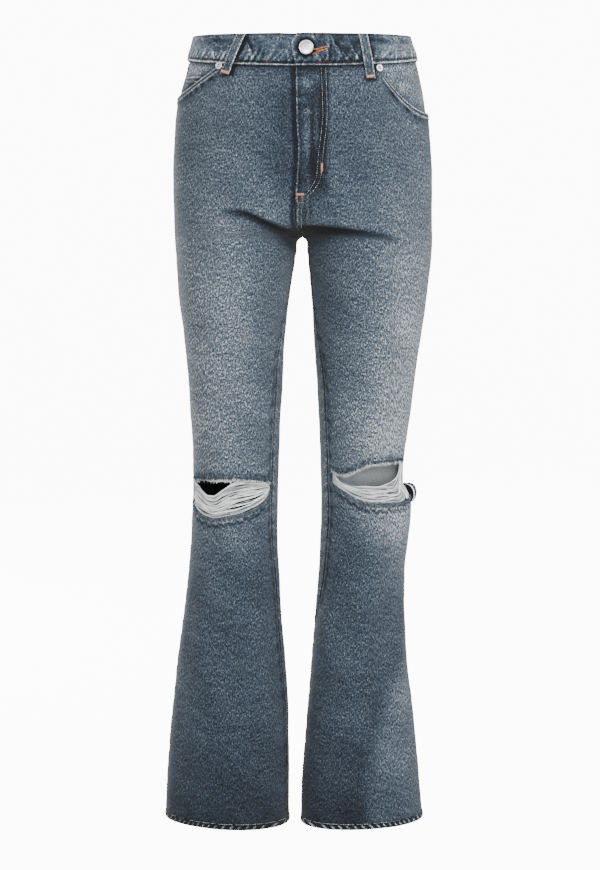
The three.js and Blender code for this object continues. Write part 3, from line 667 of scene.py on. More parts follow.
class Nodes:
    def __init__(self, name):
        self.material = bpy.data.materials.new(name)
        self.material.use_nodes = True
        self.tree = self.material.node_tree
        self.shader = self.tree.nodes["Principled BSDF"]

    def add(self, kind, inputs=None, **settings):
        node = self.tree.nodes.new(kind)
        for key, value in settings.items():
            setattr(node, key, value)
        for key, value in (inputs or {}).items():
            if isinstance(value, bpy.types.NodeSocket):
                self.tree.links.new(value, node.inputs[key])
            else:
                node.inputs[key].default_value = value
        return node

    def maths(self, operation, a, b=0.0, clamp=False):
        return self.add("ShaderNodeMath", {0: a, 1: b}, operation=operation, use_clamp=clamp).outputs[0]

    def noise(self, vector, scale, detail=2.0, roughness=.6):
        node = self.add("ShaderNodeTexNoise", {
            "Vector": vector, "Scale": scale, "Detail": detail, "Roughness": roughness})
        return self.maths("SUBTRACT", node.outputs["Fac"], .5)

    def ramp(self, value, stops, gain=1.0):
        node = self.add("ShaderNodeValToRGB", {"Fac": value})
        ramp = node.color_ramp
        while len(ramp.elements) < len(stops):
            ramp.elements.new(.5)
        for element, (at, colour) in zip(ramp.elements, stops):
            element.position = at
            element.color = linear(colour, gain)
        return node.outputs["Color"]

    def finish(self, colour, roughness, height=None, depth=.0003, metallic=0.0, sheen=0.0):
        shader = self.shader
        if isinstance(colour, bpy.types.NodeSocket):
            self.tree.links.new(colour, shader.inputs["Base Color"])
        else:
            shader.inputs["Base Color"].default_value = colour
        if isinstance(roughness, bpy.types.NodeSocket):
            self.tree.links.new(roughness, shader.inputs["Roughness"])
        else:
            shader.inputs["Roughness"].default_value = roughness
        shader.inputs["Metallic"].default_value = metallic
        shader.inputs["Specular IOR Level"].default_value = .25 if not metallic else .5
        shader.inputs["Sheen Weight"].default_value = sheen
        if height is not None:
            node = self.add("ShaderNodeBump", {"Height": height, "Distance": depth, "Strength": .9})
            self.tree.links.new(node.outputs["Normal"], shader.inputs["Normal"])
        return self.material


def denim(name, grain=1.0, gain=DENIM_GAIN):
    """Washed twill: salt-and-pepper grain on the shade painted in the tone attribute."""
    n = Nodes(name)
    uv = n.add("ShaderNodeUVMap", uv_map="weave").outputs["UV"]
    tone = n.add("ShaderNodeAttribute", attribute_name="tone").outputs["Fac"]
    slub = n.add("ShaderNodeMapping", {"Vector": uv, "Scale": (1.0, .45, 1.0)}).outputs["Vector"]
    fine = n.noise(slub, 800.0, 1.0)
    coarse = n.noise(slub, 420.0, 2.0)
    cloud = n.noise(uv, 60.0, 2.0)
    slanted = n.add("ShaderNodeMapping", {"Vector": uv, "Rotation": (0, 0, math.radians(-58))})
    twill = n.add("ShaderNodeTexWave", {
        "Vector": slanted.outputs["Vector"], "Scale": 190.0, "Distortion": 1.5, "Detail": 1.0,
        "Detail Scale": 3.0}).outputs["Fac"]
    salt = n.maths("ADD", n.maths("MULTIPLY", fine, 2.1 * grain), n.maths("MULTIPLY", coarse, 1.05 * grain))
    salt = n.maths("ADD", salt, n.maths("MULTIPLY", n.maths("SUBTRACT", twill, .5), .07))
    # the grain is weaker where the cloth is nearly unworn
    strength = n.maths("ADD", n.maths("MULTIPLY", tone, .9, True), .45)
    value = n.maths("ADD", tone, n.maths("MULTIPLY", salt, strength))
    value = n.maths("ADD", value, n.maths("MULTIPLY", cloud, .10))
    height = n.maths("ADD", twill, n.maths("MULTIPLY", fine, 1.2))
    return n.finish(n.ramp(value, DENIM_RAMP, gain), .93, height, .00025, sheen=.06)


def plain_cloth(name, stops, scale, spread, gain):
    """Thread or cloth whose tone attribute picks a colour between the stops."""
    n = Nodes(name)
    place = n.add("ShaderNodeTexCoord").outputs["Object"]
    tone = n.add("ShaderNodeAttribute", attribute_name="tone").outputs["Fac"]
    grit = n.noise(place, scale, 1.0)
    value = n.maths("ADD", tone, n.maths("MULTIPLY", grit, spread))
    return n.finish(n.ramp(value, stops, gain), .95, grit, .0002)


def metal(name, light, dark, roughness):
    n = Nodes(name)
    place = n.add("ShaderNodeTexCoord").outputs["Object"]
    wear = n.maths("ADD", n.noise(place, 420.0, 3.0), .5)
    colour = n.ramp(wear, ((.25, dark), (.65, light)))
    rough = n.maths("ADD", n.maths("MULTIPLY", wear, .2), roughness)
    return n.finish(colour, rough, wear, .00005, metallic=1.0)


GREY_THREAD = ((0, (40, 45, 52)), (.5, (118, 124, 130)), (1, (226, 228, 226)))
RUST_THREAD = ((0, (70, 34, 22)), (.5, (188, 104, 66)), (1, (238, 196, 168)))
LINING = ((0, (8, 9, 11)), (.35, (74, 80, 86)), (.7, (150, 156, 160)), (1, (214, 217, 218)))

mat_front = denim("denim_front")
mat_back = denim("denim_back")
mat_band = denim("denim_band", .8, .44)
mat_trim = denim("denim_trim", .9)
mat_hem = denim("denim_hem", .9)
mat_lining = plain_cloth("denim_reverse", LINING, 500.0, .25, 1.0)
mat_blue_thread = plain_cloth("blue_thread", DENIM_RAMP, 900.0, .35, DENIM_GAIN)
mat_white_thread = plain_cloth("white_thread", GREY_THREAD, 900.0, .3, 1.12)
mat_rust_thread = plain_cloth("rust_thread", RUST_THREAD, 900.0, .3, .6)
mat_grey_stitch = plain_cloth("grey_stitch", GREY_THREAD, 900.0, .3, .75)
mat_button = metal("button_metal", (232, 233, 233), (150, 152, 155), .22)
mat_rivet = metal("rivet_metal", (226, 227, 228), (138, 140, 143), .25)
mat_patina = metal("dark_metal", (60, 60, 62), (24, 24, 26), .45)


# ---------------------------------------------------------------- pieces
def piece(obj, slot_name, *nodes):
    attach(obj, "root")
    if nodes:
        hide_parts(*nodes)
    return obj


def lining_tone(base):
    """One even tone for the wrong side of the cloth."""
    return lambda side, angle, z: base + 0 * z


def front_tone(side, angle, z, points):
    x = points[..., 0]
    tone = wash_with_painted_light(side, angle, x, z) + front_form(side, angle, z)[1]
    return tone + rip_shade(side, angle, z) + loop_shade(x, z)


def back_tone(side, angle, z, points):
    return wash_with_painted_light(side, angle, points[..., 0], z) + back_form(side, angle, z)[1]


def rip_shade(side, angle, z):
    """Tone round a rip: a pale frayed edge with dark specks above it, and below it a lighter frayed band
    with a painted scalloped shadow under it.
    """
    a, b = RIP[side]["span"]
    t = (angle - a) / (b - a)
    inside = smooth(-.04, .14, t) * (1 - smooth(.9, 1.04, t))
    up = z - RIP[side]["upper"](t)
    down = RIP[side]["lower"](t) - z
    scallop = 8.5 + 1.6 * np.sin(angle * .55) + 1.2 * np.sin(angle * 1.3 + 1)
    speck = waver(angle * 3, z, 32, 4.5)
    return inside * (.10 * bump(up, .5, 1.6) - .30 * bump(up, 5, 2.4) * (.6 + .6 * speck)
                     - .42 * bump(down, scallop + 1.2, 1.7) + .20 * bump(down, 4.2, 3.2) * (.9 + speck))


# Columns of a front panel's grid, and the rows and columns that bound the rip.
FRONT_COLUMNS, RIP_TOP, RIP_FOOT, RIP_FIRST, RIP_LAST = 88, 256, 268, 8, 80


def front(side, word):
    keys = [(0, lambda a: front_top(side, a) + PANEL_TUCK * (a <= mouth_start(side))),
            (50, -150), (90, -240), (140, -290),
            (RIP_TOP, lambda a: rip_edge(side, "upper", RIP[side]["ends"][0], a)),
            (RIP_FOOT, lambda a: rip_edge(side, "lower", RIP[side]["ends"][1], a)),
            (428, lambda a: hem_foot(a) + HEM_HEIGHT - FOOT_TUCK)]
    rows, columns = keys[-1][0], FRONT_COLUMNS
    angle, z = grid(rows, columns, rows_between(keys), lambda u, h: front_angle(side, u, h))
    ragged = np.random.default_rng(40 + side).normal(0, .9, columns + 1)
    edge = slice(RIP_FIRST, RIP_LAST + 1)
    z[RIP_TOP, edge] += ragged[edge]
    z[RIP_FOOT, edge] -= ragged[::-1][edge]
    open_cells = np.zeros((rows, columns), bool)
    open_cells[RIP_TOP:RIP_FOOT, RIP_FIRST:RIP_LAST] = True
    obj = cloth(f"front_{word}", side, angle, z, front_point, 0, DENIM, front_tone,
                (mat_front, mat_lining), open_cells=open_cells, inside=lining_tone(.12))
    return piece(obj, "denim_front", f"front_{word}")


BACK_COLUMNS = 84


def back(side, word, inside_tone):
    keys = [(0, lambda a: yoke_foot(side, a) + YOKE_LAP), (32, -150), (76, -290), (180, -600),
            (200, -650), (340, lambda a: hem_foot(a) + HEM_HEIGHT - FOOT_TUCK)]
    angle, z = grid(340, BACK_COLUMNS, rows_between(keys), lambda u, h: back_angle(side, u, h))
    obj = cloth(f"back_{word}", side, angle, z, back_point, 0, DENIM, back_tone,
                (mat_back, mat_lining), inside=inside_tone)
    return piece(obj, "denim_back", f"back_{word}")


def yoke(side, word):
    keys = [(0, lambda a: band_foot(a) + YOKE_TUCK), (44, lambda a: yoke_foot(side, a))]
    angle, z = grid(44, BACK_COLUMNS, rows_between(keys), lambda u, h: back_angle(side, u, h))
    obj = cloth(f"yoke_{word}", side, angle, z, back_point, 0, DENIM, back_tone,
                (mat_back, mat_lining), inside=lining_tone(.14))
    return piece(obj, "denim_back", f"yoke_{word}")


POCKET_GAP, COIN_CLOTH, PLY_GAP = 1.1, 1.2, .7
COIN_LIFT = -(DENIM + POCKET_GAP)
COIN_TOP, COIN_FOOT = -56, -96
FACING_DEPTH = 20              # how far the facing reaches below the mouth's edge


def facing_lift(side):
    return COIN_LIFT - (COIN_CLOTH + PLY_GAP if side == RIGHT else 0)


def gape_shade(side, angle, z):
    """Shade that the mouth's edge casts where the right pocket gapes."""
    gape = .35 + .65 * bump(z, -66, 16)
    return gape * np.exp(-np.clip(z - mouth_height(side, angle) - 2, 0, None) / 4.0)


def facing_tone(side, angle, z, points):
    """The pocket facing: pale, and shaded by the mouth's edge and below the waistband."""
    per = span(side, angle, z)
    above_mouth = z - mouth_height(side, angle)
    tone = mix(.62, .57, side == LEFT) + .05 * waver(points[..., 0], z, 51, 18)
    tone = tone - .30 * bump(band_foot(angle) - z, 0, 2.4)
    tone = tone - gape_shade(side, angle, z) * (side == RIGHT)
    tone = tone - .26 * np.exp(-np.clip(above_mouth, 0, None) / 6.0) * (side == LEFT)
    tone = tone - .14 * bump(z, -55, 3) * (side == RIGHT)
    return tone + np.where((SIDE_SEAM - angle) * per < 2, -.2, 0)


def pocket_facing(side, word):
    def foot(a):
        return mouth_height(side, np.maximum(a, mouth_start(side))) - FACING_DEPTH

    keys = [(0, lambda a: band_foot(a) + FACING_TUCK), (36, foot)]
    angle, z = grid(36, 60, rows_between(keys), lambda u, h: front_angle(side, mix(5 / 11, 1, u), h))
    obj = cloth(f"pocket_facing_{word}", side, angle, z, skin, facing_lift(side), DENIM,
                facing_tone, (mat_trim, mat_lining), inside=lining_tone(.12))
    return piece(obj, "denim_trim", f"pocket_facing_{word}")


def coin_tone(side, angle, z, points):
    down = COIN_TOP - z
    tone = .50 + .06 * waver(points[..., 0], z, 52, 12)
    tone = tone + .30 * bump(down, .5, 1.3) - .22 * bump(down, 3.4, 1.2)
    tone = tone + .20 * bump(down, 6, 1.1) - .20 * bump(down, 8.5, 1.2)
    return tone - gape_shade(side, angle, z)


def coin_pocket():
    keys = [(0, COIN_TOP), (36, COIN_FOOT)]
    angle, z = grid(36, 48, rows_between(keys),
                    lambda u, h: front_angle(RIGHT, mix(7 / 11, 10 / 11, u), h))
    obj = cloth("coin_pocket", RIGHT, angle, z, skin, COIN_LIFT, COIN_CLOTH,
                coin_tone, (mat_trim, mat_lining), inside=lining_tone(.12), rounding=(.4, .8))
    return piece(obj, "denim_trim", "coin_pocket")


# Back pocket, on the back panel: heights of the panel's rows, and the rows and columns it covers.
PANEL_ROWS = (-100, -125, -150, -185, -215, -238, -255, -267, -274)
POCKET_TOP, POCKET_FOOT, POCKET_POINT = 1.5, 6.15, .85
POCKET_HALF, POCKET_TAPER, POCKET_MIDDLE = 2.5, .35, 5.5


def pocket_spot(side, u, v, inset=0.0):
    """Angle and height on the back pocket, u -1 to 1 across and v 0 to 1 down; inset in columns."""
    row = mix(POCKET_TOP, POCKET_FOOT + POCKET_POINT * (1 - np.abs(u)), v)
    z = np.interp(row, np.arange(len(PANEL_ROWS)), PANEL_ROWS)
    column = POCKET_MIDDLE + u * (POCKET_HALF - POCKET_TAPER * v - inset)
    return back_angle(side, column / 10, z), z


def pocket_tone(side, angle, z, points):
    return wash_with_painted_light(side, angle, points[..., 0], z) + .03


def back_pocket(side, word):
    v, u = np.meshgrid(np.linspace(0, 1, 81), np.linspace(-1, 1, 73), indexing="ij")
    angle, z = pocket_spot(side, u, v)
    obj = cloth(f"back_pocket_{word}", side, angle, z, skin, DENIM + PLY_GAP, DENIM, pocket_tone,
                (mat_back, mat_lining), inside=lining_tone(.12), rounding=(.2, .7), edge_wear=.26)
    return piece(obj, "denim_back", f"back_pocket_{word}")


def roping(side, angle, z):
    """Height above the hem's foot, and the slanting ridges of the rope there, 0 to 1."""
    height = z - hem_foot(angle)
    turn = math.tau * (angle * span(side, angle, z) / 10 + height / 12) + 1.3 * np.sin(angle / 9)
    return height, .5 + .5 * np.cos(turn)


def hem_tone(side, angle, z, points):
    """Light slanting ridges on a dark turned-up edge."""
    height, rope = roping(side, angle, z)
    tone = mix(-.2, -.03, side == LEFT) + 1.05 * rope ** 4 * bump(height, 3.8, 3.4)
    tone = tone + .10 * bump(height, .3, .7)
    tone = tone - .12 * bump(height, 8.6, 1.0) + .05 * waver(points[..., 0], points[..., 1], 61, 25)
    return tone + np.where(np.sin(np.radians(angle)) > 0, .06, 0)


def hem_point(side, angle, z, lift=0.0):
    height, rope = roping(side, angle, z)
    return skin(side, angle, z, lift + .7 * rope * bump(height, 4, 4) - .35)


def hem(side, word):
    rows, columns = 12, 300
    i, j = np.meshgrid(np.arange(rows + 1), np.arange(columns), indexing="ij")
    angle = -180 + 360 * j / columns
    z = hem_foot(angle) + HEM_HEIGHT * (1 - i / rows)
    obj = cloth(f"hem_{word}", side, angle, z, hem_point, HEM_PROUD, HEM_CLOTH,
                hem_tone, (mat_hem, mat_lining), closed=True, inside=lining_tone(.18), rounding=(.35, .8))
    return piece(obj, "denim_hem", f"hem_{word}")


# ---------------------------------------------------------------- waistband
BAND_LAP_END, BAND_UNDER = -11.0, 34.0    # where the upper end stops, and how long the under end is
BAND_SUNK, BAND_CLIMB, WAIST_REACH = 37.0, 22.0, 150.0
WAIST_DEGREE = 2.65            # millimetres along the waistband in one degree


def around_waist(turn):
    """Side and angle at a turn round the waist: 0 is the front centre, rising to the wearer's right."""
    t = np.mod(turn, 360)
    return np.where(t <= 180, RIGHT, LEFT), np.where(t <= 180, t - 90, 270 - t)


def turn_at(x):
    """Turn at a distance along the front, positive to the wearer's left."""
    x = np.asarray(x, float)
    return np.degrees(np.arcsin(np.clip(-x / by_side(np.sign(x), OUTER, -20.0), -1, 1)))


def band_dip(turn):
    start = turn_at(BAND_UNDER + BAND_LAP_END)
    run = np.radians(turn - start) * WAIST_REACH
    return (BAND_CLOTH + PLY_GAP) * (1 - smooth(BAND_SUNK, BAND_SUNK + BAND_CLIMB, run))


BAND_SHADE = Curve((-160, .58), (-118, .51), (-70, .38), (-30, .34), (0, .35), (30, .26), (62, .22),
                   (90, .32), (112, .52), (160, .59))
LAP_EDGE = Curve((-45, -7.6), (-29, -12.3), (-14, -15), (-2, -8.6), (0, -8))   # the band's lapped end


# Belt loops: place of the top and of the foot across, height of the foot, front (-1) or back (1).
LOOPS = {
    "belt_loop_front_right": (-82.4, -104.5, -55, -1),
    "belt_loop_front_left": (80.7, 91.5, -61, -1),
    "belt_loop_back_right": (-98, -100, -57, 1),
    "belt_loop_back_left": (98, 100, -57, 1),
    "belt_loop_back": (.5, .5, -57, 1),
}
LOOP_TOP, LOOP_WIDTH, LOOP_CLOTH, LOOP_BULGE = -1.5, 12.0, 1.8, 1.6
LOOP_REST = BAND_PROUD + PLY_GAP + LOOP_CLOTH
BUTTON_AT = (4.7, -20.0)
# Light wrinkles across the front of the band.
# Each has its middle, the millimetres it runs over for each one up, width, height and strength.
STREAKS = (
    (34.5, -20, 0, 1.5, 13, .50), (42, -14, -.5, 1.5, 9, .40), (49, -24, -.7, 1.7, 9, .44),
    (57, -30, -.9, 1.6, 7, .34), (66, -17, -.6, 1.4, 8, .26), (73, -31, -.8, 1.7, 7, .36),
    (-44, -31, .5, 1.7, 9, .34), (-36, -33, .8, 1.6, 8, .40), (-27, -31, .6, 1.5, 10, .36),
    (-19, -34, -.3, 1.4, 7, .30), (14, -4, -.6, 1.5, 6, .40), (-71, -24, -.5, 1.6, 11, .42),
    (-66, -30, .5, 1.6, 9, .40), (-56, -26, .2, 1.4, 9, .24), (95, -33, -.5, 1.6, 6, .30),
    (113, -28, .6, 1.6, 8, .26), (-108, -31, .5, 1.7, 7, .28), (-122, -28, -.4, 1.7, 8, .24),
    (22, -34, -.8, 1.5, 7, .30))
# Worn and dark places on the front of the band, laid out as the spots on the legs; below 0 is the wearer's
# right.
BAND_SPOTS = (
    (-117, -9, 22, 5.5, -.34), (-112, -19.5, 15, 2.6, -.26), (-60, -20, 5, 12, -.20),
    (-72, -14, 3.5, 14, -.26), (104, -9, 16, 4.5, -.34), (92, -23, 8, 7, -.22), (137, -9, 8, 4, -.22),
    (50, -18, 22, 9, -.06), (-20, -36, 30, 8, -.05), (-36, -12, 26, 5, .05))
SPOT_LEAN = -.35


def loop_shade(x, z):
    """Painted shadow along a front belt loop's side, and under its foot."""
    total = 0
    for name, wide in (("belt_loop_front_right", 3.2), ("belt_loop_front_left", 2.0)):
        top_x, foot_x, foot_z, _ = LOOPS[name]
        v = (LOOP_TOP - z) / (LOOP_TOP - foot_z)
        beside = x - mix(top_x, foot_x, v) - LOOP_WIDTH / 2
        along = smooth(-.1, .02, v) * (1 - smooth(1, 1.06, v))
        total = total - .55 * along * bump(beside, 1.5, wide)
        total = total - .40 * bump(z - foot_z, -1.5, 2.6) * bump(x - foot_x, 0, 8)
    return total


def band_waves(turn, z):
    """Slanting puckers along the waistband's lower half, 0 to 1."""
    slant = turn * WAIST_DEGREE + .55 * z + 2.5 * np.sin(turn / 7)
    return (.5 + .5 * np.cos(math.tau * slant / 9.5 + 1.5 * np.sin(turn / 3.7))) ** 2


def band_point(turn, z, lift=0.0):
    side, angle = around_waist(turn)
    foot = band_foot(angle)
    above = z - foot
    lift = lift + .55 * band_waves(turn, z) * bump(above, 9, 9) + .35 * waver(turn * 2.6, z, 71, 26)
    lift = lift - .5 * bump(above, 4.6, 1.4) - .35 * bump(z, -3.4, 1.2)
    return skin(side, angle, z, lift)


def band_tone(turn, z, points):
    angle = around_waist(turn)[1]
    x = points[..., 0]
    front_half = np.sin(np.radians(angle)) < .1
    above = z - band_foot(angle)
    run = turn * 2.6
    tone = np.where(front_half, BAND_SHADE(x), .42) + .07 * waver(run, z, 72, 16)
    tone = tone + .05 * waver(run, z, 73, 7)
    patchy = .55 + .45 * waver(run, z, 74, 40)
    tone = tone + .60 * (band_waves(turn, z) - .35) * bump(above, 9, 8) * patchy
    edge = 1.7 + .4 * waver(run, z, 75, 22)
    # painted shade in the groove above the lower edge, a pale worn edge, and painted shadow on the panel
    # just under the band
    lower = -.50 * bump(above, 4.6, 1.5) + .56 * bump(above, edge, .8) - .3 * bump(above, -.4, .7)
    # a painted shadow ring round the button
    round_button = np.hypot(x - BUTTON_AT[0], z - BUTTON_AT[1])
    tone = tone - .55 * front_half * bump(round_button, 11, 2.4)
    tone = tone + lower - .30 * bump(z, -.6, 1.7) + .05 * bump(z, -5, 2)
    for cx, cz, rx, rz, amount in BAND_SPOTS:
        tone = tone + spot(x, z, cx + (z - cz) * SPOT_LEAN, cz, rx, rz, amount) * front_half
    for cx, cz, lean, wide, tall, amount in STREAKS:
        line = cx + (z - cz) * lean + 1.2 * np.sin((z - cz) / 4)
        light = 1.25 * spot(x, z, line, cz, .85 * wide, tall, amount)
        dark = spot(x, z, line + 2.6, cz, 1.3, tall, .8 * amount)
        tone = tone + (light - dark) * front_half
    tone = tone + loop_shade(x, z) * front_half
    return tone


def waistband():
    rows, columns = 30, 430
    start = float(turn_at(BAND_UNDER + BAND_LAP_END))
    end = float(turn_at(BAND_LAP_END)) + 360
    v, turn = np.meshgrid(np.linspace(0, 1, rows + 1), np.linspace(start, end, columns + 1), indexing="ij")
    side, angle = around_waist(turn)
    z = v * band_foot(angle)
    # the lap's edge bows out to the wearer's right
    share = (turn - start) / (end - start)
    edge = 360 + turn_at(LAP_EDGE(-BAND_FRONT * v))
    turn = turn + (edge - end) * smooth(.93, 1, share)

    def place(_, turn, z, lift):
        return band_point(turn, z, lift - band_dip(turn))

    def tone(_, turn, z, points):
        inward = (edge - turn) * WAIST_DEGREE
        holes = .5 + .5 * np.cos(math.tau * z / 3.1)
        seam = .6 * bump(inward, .6, 1.2) - .34 * holes * bump(inward, 3.6, 1.1)
        return band_tone(turn, z, points) + seam

    obj = cloth("waistband", side, turn, z, place, BAND_PROUD, BAND_CLOTH, tone, (mat_band, mat_lining),
                inside=lambda _, turn, z: .42 + 0 * z, rounding=(.3, .75))
    return piece(obj, "denim_band", "waistband")


def loop_spot(loop, u, v):
    """Side, angle, height and arch on a belt loop; u -0.5 to 0.5 across, v 0 to 1 down."""
    top_x, foot_x, foot_z, way = loop
    z = mix(LOOP_TOP, foot_z, v)
    x = mix(top_x, foot_x, v) + u * LOOP_WIDTH
    side = np.where(x < 0, RIGHT, LEFT)
    centre, reach, _ = section(side, z)
    turn = np.degrees(np.arccos(np.clip((np.abs(x) - centre) / reach, -1, 1)))
    return side, way * turn, z, LOOP_BULGE * np.sin(np.pi * v)


def belt_loop(name, loop):
    rows, columns = 60, 14
    v, u = np.meshgrid(np.linspace(0, 1, rows + 1), np.linspace(-.5, .5, columns + 1), indexing="ij")
    side, angle, z, arch = loop_spot(loop, u, v)

    def place(side, angle, z, lift):
        crown = .35 * np.cos(math.tau * u) * np.sin(np.pi * v)
        return skin(side, angle, z, lift + arch - crown, relief=False)

    def tone(side, angle, z, points):
        edge = (.5 - np.abs(u)) * LOOP_WIDTH
        speck = .08 * waver(u * 12, v * 55, 81 + len(name), 9)
        # pale worn edges, the right one lighter still as a painted highlight; darker lines inside the edges
        # and across the foot
        rim = .40 + .18 * (u > 0)
        return .43 + speck + rim * bump(edge, .4, .8) - .22 * bump(edge, 2.4, .8) - .14 * bump(v, .78, .1)

    obj = cloth(name, side, angle, z, place, LOOP_REST, LOOP_CLOTH, tone, (mat_trim, mat_lining),
                inside=lining_tone(.2), rounding=(.35, .8))
    return piece(obj, "denim_trim", name)


# ---------------------------------------------------------------- threads, frays and stitches
def knee_threads(side, word, bundles, seed):
    """Loose white threads across a rip, in bundles, from its sagging upper line to its lower edge."""
    r = np.random.default_rng(seed)
    rip = RIP[side]
    a, b = rip["span"]
    t = np.linspace(0, 1, 36)
    free = np.sin(np.pi * t) ** .5
    upper, lower = rip["sag"](t), rip["base"](t)
    paths, tones, radii = [], [], []
    for k in range(bundles):
        middle = (k + .5 + r.normal(0, .12)) / bundles
        cross = r.normal(0, .045) * np.cos(np.pi * t) * free + 0 * t
        sway = 1.5 * np.sin(np.pi * t * r.uniform(2, 6) + r.uniform(0, 6)) * r.uniform(.4, 1.1)
        depth = -1.1 + .9 * np.sin(np.pi * t * r.uniform(1, 4) + r.uniform(0, 6))
        light = r.uniform(.62, 1.0)
        count = r.integers(2, 6)
        for n in range(count):
            place = (n + .5) / count - .5
            share = np.clip(middle + cross + .8 * place / bundles + r.normal(0, .015) * t, -.01, 1.0)
            own = r.uniform(.3, 1) * np.sin(t * r.uniform(12, 34) + r.uniform(0, 6))
            z = mix(upper, lower, share) + (sway + .6 * own) * free
            lift = depth - 1.3 * (2 * place) ** 2 + .4 * r.normal(0, .8) * free
            lift = np.clip(lift, -3.4, .9) - 1.6 * (1 - smooth(0, .03, t)) - 1.6 * smooth(.97, 1, t)
            paths.append(skin(side, a + (b - a) * t, z, lift))
            # painted shade on the threads of one side of each bundle, in the furrows between bundles
            furrow_shade = .40 * smooth(.1, .5, -place) * (.5 + .5 * np.sin(t * 9 + k))
            tones.append(light + r.normal(0, .12) - furrow_shade + .14 * own)
            radii.append(r.uniform(.26, .46))
    obj = strands(f"knee_threads_{word}", paths, radii, mat_white_thread, np.clip(tones, 0, 1))
    return piece(obj, "white_thread", f"knee_threads_{word}")


def rim_threads(side, word, count, ends, hang, seed):
    """White threads lying along a rip's upper edge.

    ends is their reach along it, and hang how far they droop."""
    r = np.random.default_rng(seed)
    a, b = RIP[side]["span"]
    s = np.linspace(0, 1, 24)
    paths, tones = [], []
    for _ in range(count):
        t = mix(ends[0] + r.normal(0, .04), ends[1] + r.normal(0, .03), s)
        droop = r.uniform(.1, 1) * hang * np.sin(np.pi * s) ** .7
        z = RIP[side]["upper"](t) + 1 - droop + .5 * np.sin(s * r.uniform(8, 30) + r.uniform(0, 6))
        paths.append(skin(side, a + (b - a) * t, z, r.normal(-1.6, .5) + 0 * s))
        tones.append(np.clip(r.uniform(.45, .95) + .1 * np.sin(s * 20 + droop), 0, 1))
    obj = strands(f"rim_threads_{word}", paths, r.uniform(.25, .42, count), mat_white_thread, tones)
    return piece(obj, "white_thread")


def outer_web():
    """Threads hanging down the outer end of the left rip, and the frayed loop outside them."""
    r = np.random.default_rng(105)
    s = np.linspace(0, 1, 18)
    paths, tones, radii = [], [], []
    for k in range(22):
        top = r.uniform(-27, -1)
        foot = -19 + .42 * (top + 14) + r.normal(0, 2)
        bow = r.uniform(.6, 1)
        angle = mix(top, foot, s) + 2.2 * np.sin(s * r.uniform(3, 8) + r.uniform(0, 6)) * np.sin(np.pi * s)
        z = mix(-589, -643, s)
        paths.append(skin(LEFT, angle, z, -.6 + 2.0 * bow * np.sin(np.pi * s) ** .8 * smooth(-30, -6, top)))
        tones.append(r.uniform(.6, 1) + .12 * np.sin(s * 14 + k))
        radii.append(r.uniform(.28, .42))
    # the loop's inner blue strands are near black: painted shade of the hole under the loop
    torn, torn_tones = [], []
    for q in np.linspace(0, 1, 15):
        swell = np.sin(np.pi * s) ** .75
        height = mix(-621 + 2 * (1 - q), -648, s) + 2 * q * np.sin(np.pi * s)
        line = skin(LEFT, -16 + 11 * swell + 2 * q, height, -.5 + (1 + 12 * q) * swell)
        if .62 < q < .75:
            paths.append(line)
            tones.append(.95 + 0 * s)
            radii.append(.7)
        else:
            torn.append(line)
            torn_tones.append((q > .7) * (.42 + .34 * np.sin(s * 41 + 9 * q)))
    piece(strands("outer_loop_left", torn, .8, mat_blue_thread, np.clip(torn_tones, 0, 1)), "denim_front")
    obj = strands("outer_web_left", paths, radii, mat_white_thread, np.clip(tones, 0, 1))
    return piece(obj, "white_thread")


def fray(name, side, curve, offset, ways, count, lengths, lifts, tones, radius, material, seed):
    """Short loose ends along a rip's edge.

    ways is the mean and spread of their direction, in degrees from down."""
    r = np.random.default_rng(seed)
    a, b = RIP[side]["span"]
    t = r.uniform(0, 1, count)
    angle = a + (b - a) * t
    z = RIP[side][curve](t) + offset + r.normal(0, .7, count)
    way = np.radians(r.normal(*ways, count))
    length = r.uniform(*lengths, count)
    steps = np.linspace(0, 1, 5)
    curl = r.normal(0, .5, (count, 1))
    across = (length * np.sin(way))[:, None] * steps + length[:, None] * curl * steps ** 2 * .5
    down = (length * np.cos(way))[:, None] * steps
    per = span(side, angle, z)[:, None]
    arch = r.uniform(*lifts, count)[:, None] * np.sin(np.pi * np.minimum(steps * .8 + .1, 1))
    paths = front_point(side, angle[:, None] + across / per, z[:, None] - down, .1 + arch)
    obj = strands(name, paths, r.uniform(*radius, count), material, r.uniform(*tones, count), taper=.4)
    return piece(obj, "white_thread" if material is mat_white_thread else "denim_front")


stitched = {"grey_stitch": [], "rust_thread": []}


def stitch(kind, surface, side, angle, z, lift=.12, pitch=3.4, length=2.6, kept=1.0):
    """A row of topstitches along a line of angles and heights; kept is the share not worn through."""
    points = surface(side, np.asarray(angle, float), np.asarray(z, float), lift)
    row = stitch_run(points.reshape(-1, 3), pitch, length)
    worn = waver(np.arange(len(row)) * pitch, row[:, 0, 2], 95, 16)
    stitched[kind].append(row[worn <= np.quantile(worn, kept)])


def on_front(side, x, z):
    """Angle on the front at a signed distance to the wearer's left."""
    return centre_angle(side, np.asarray(z, float), np.asarray(x, float) * side)


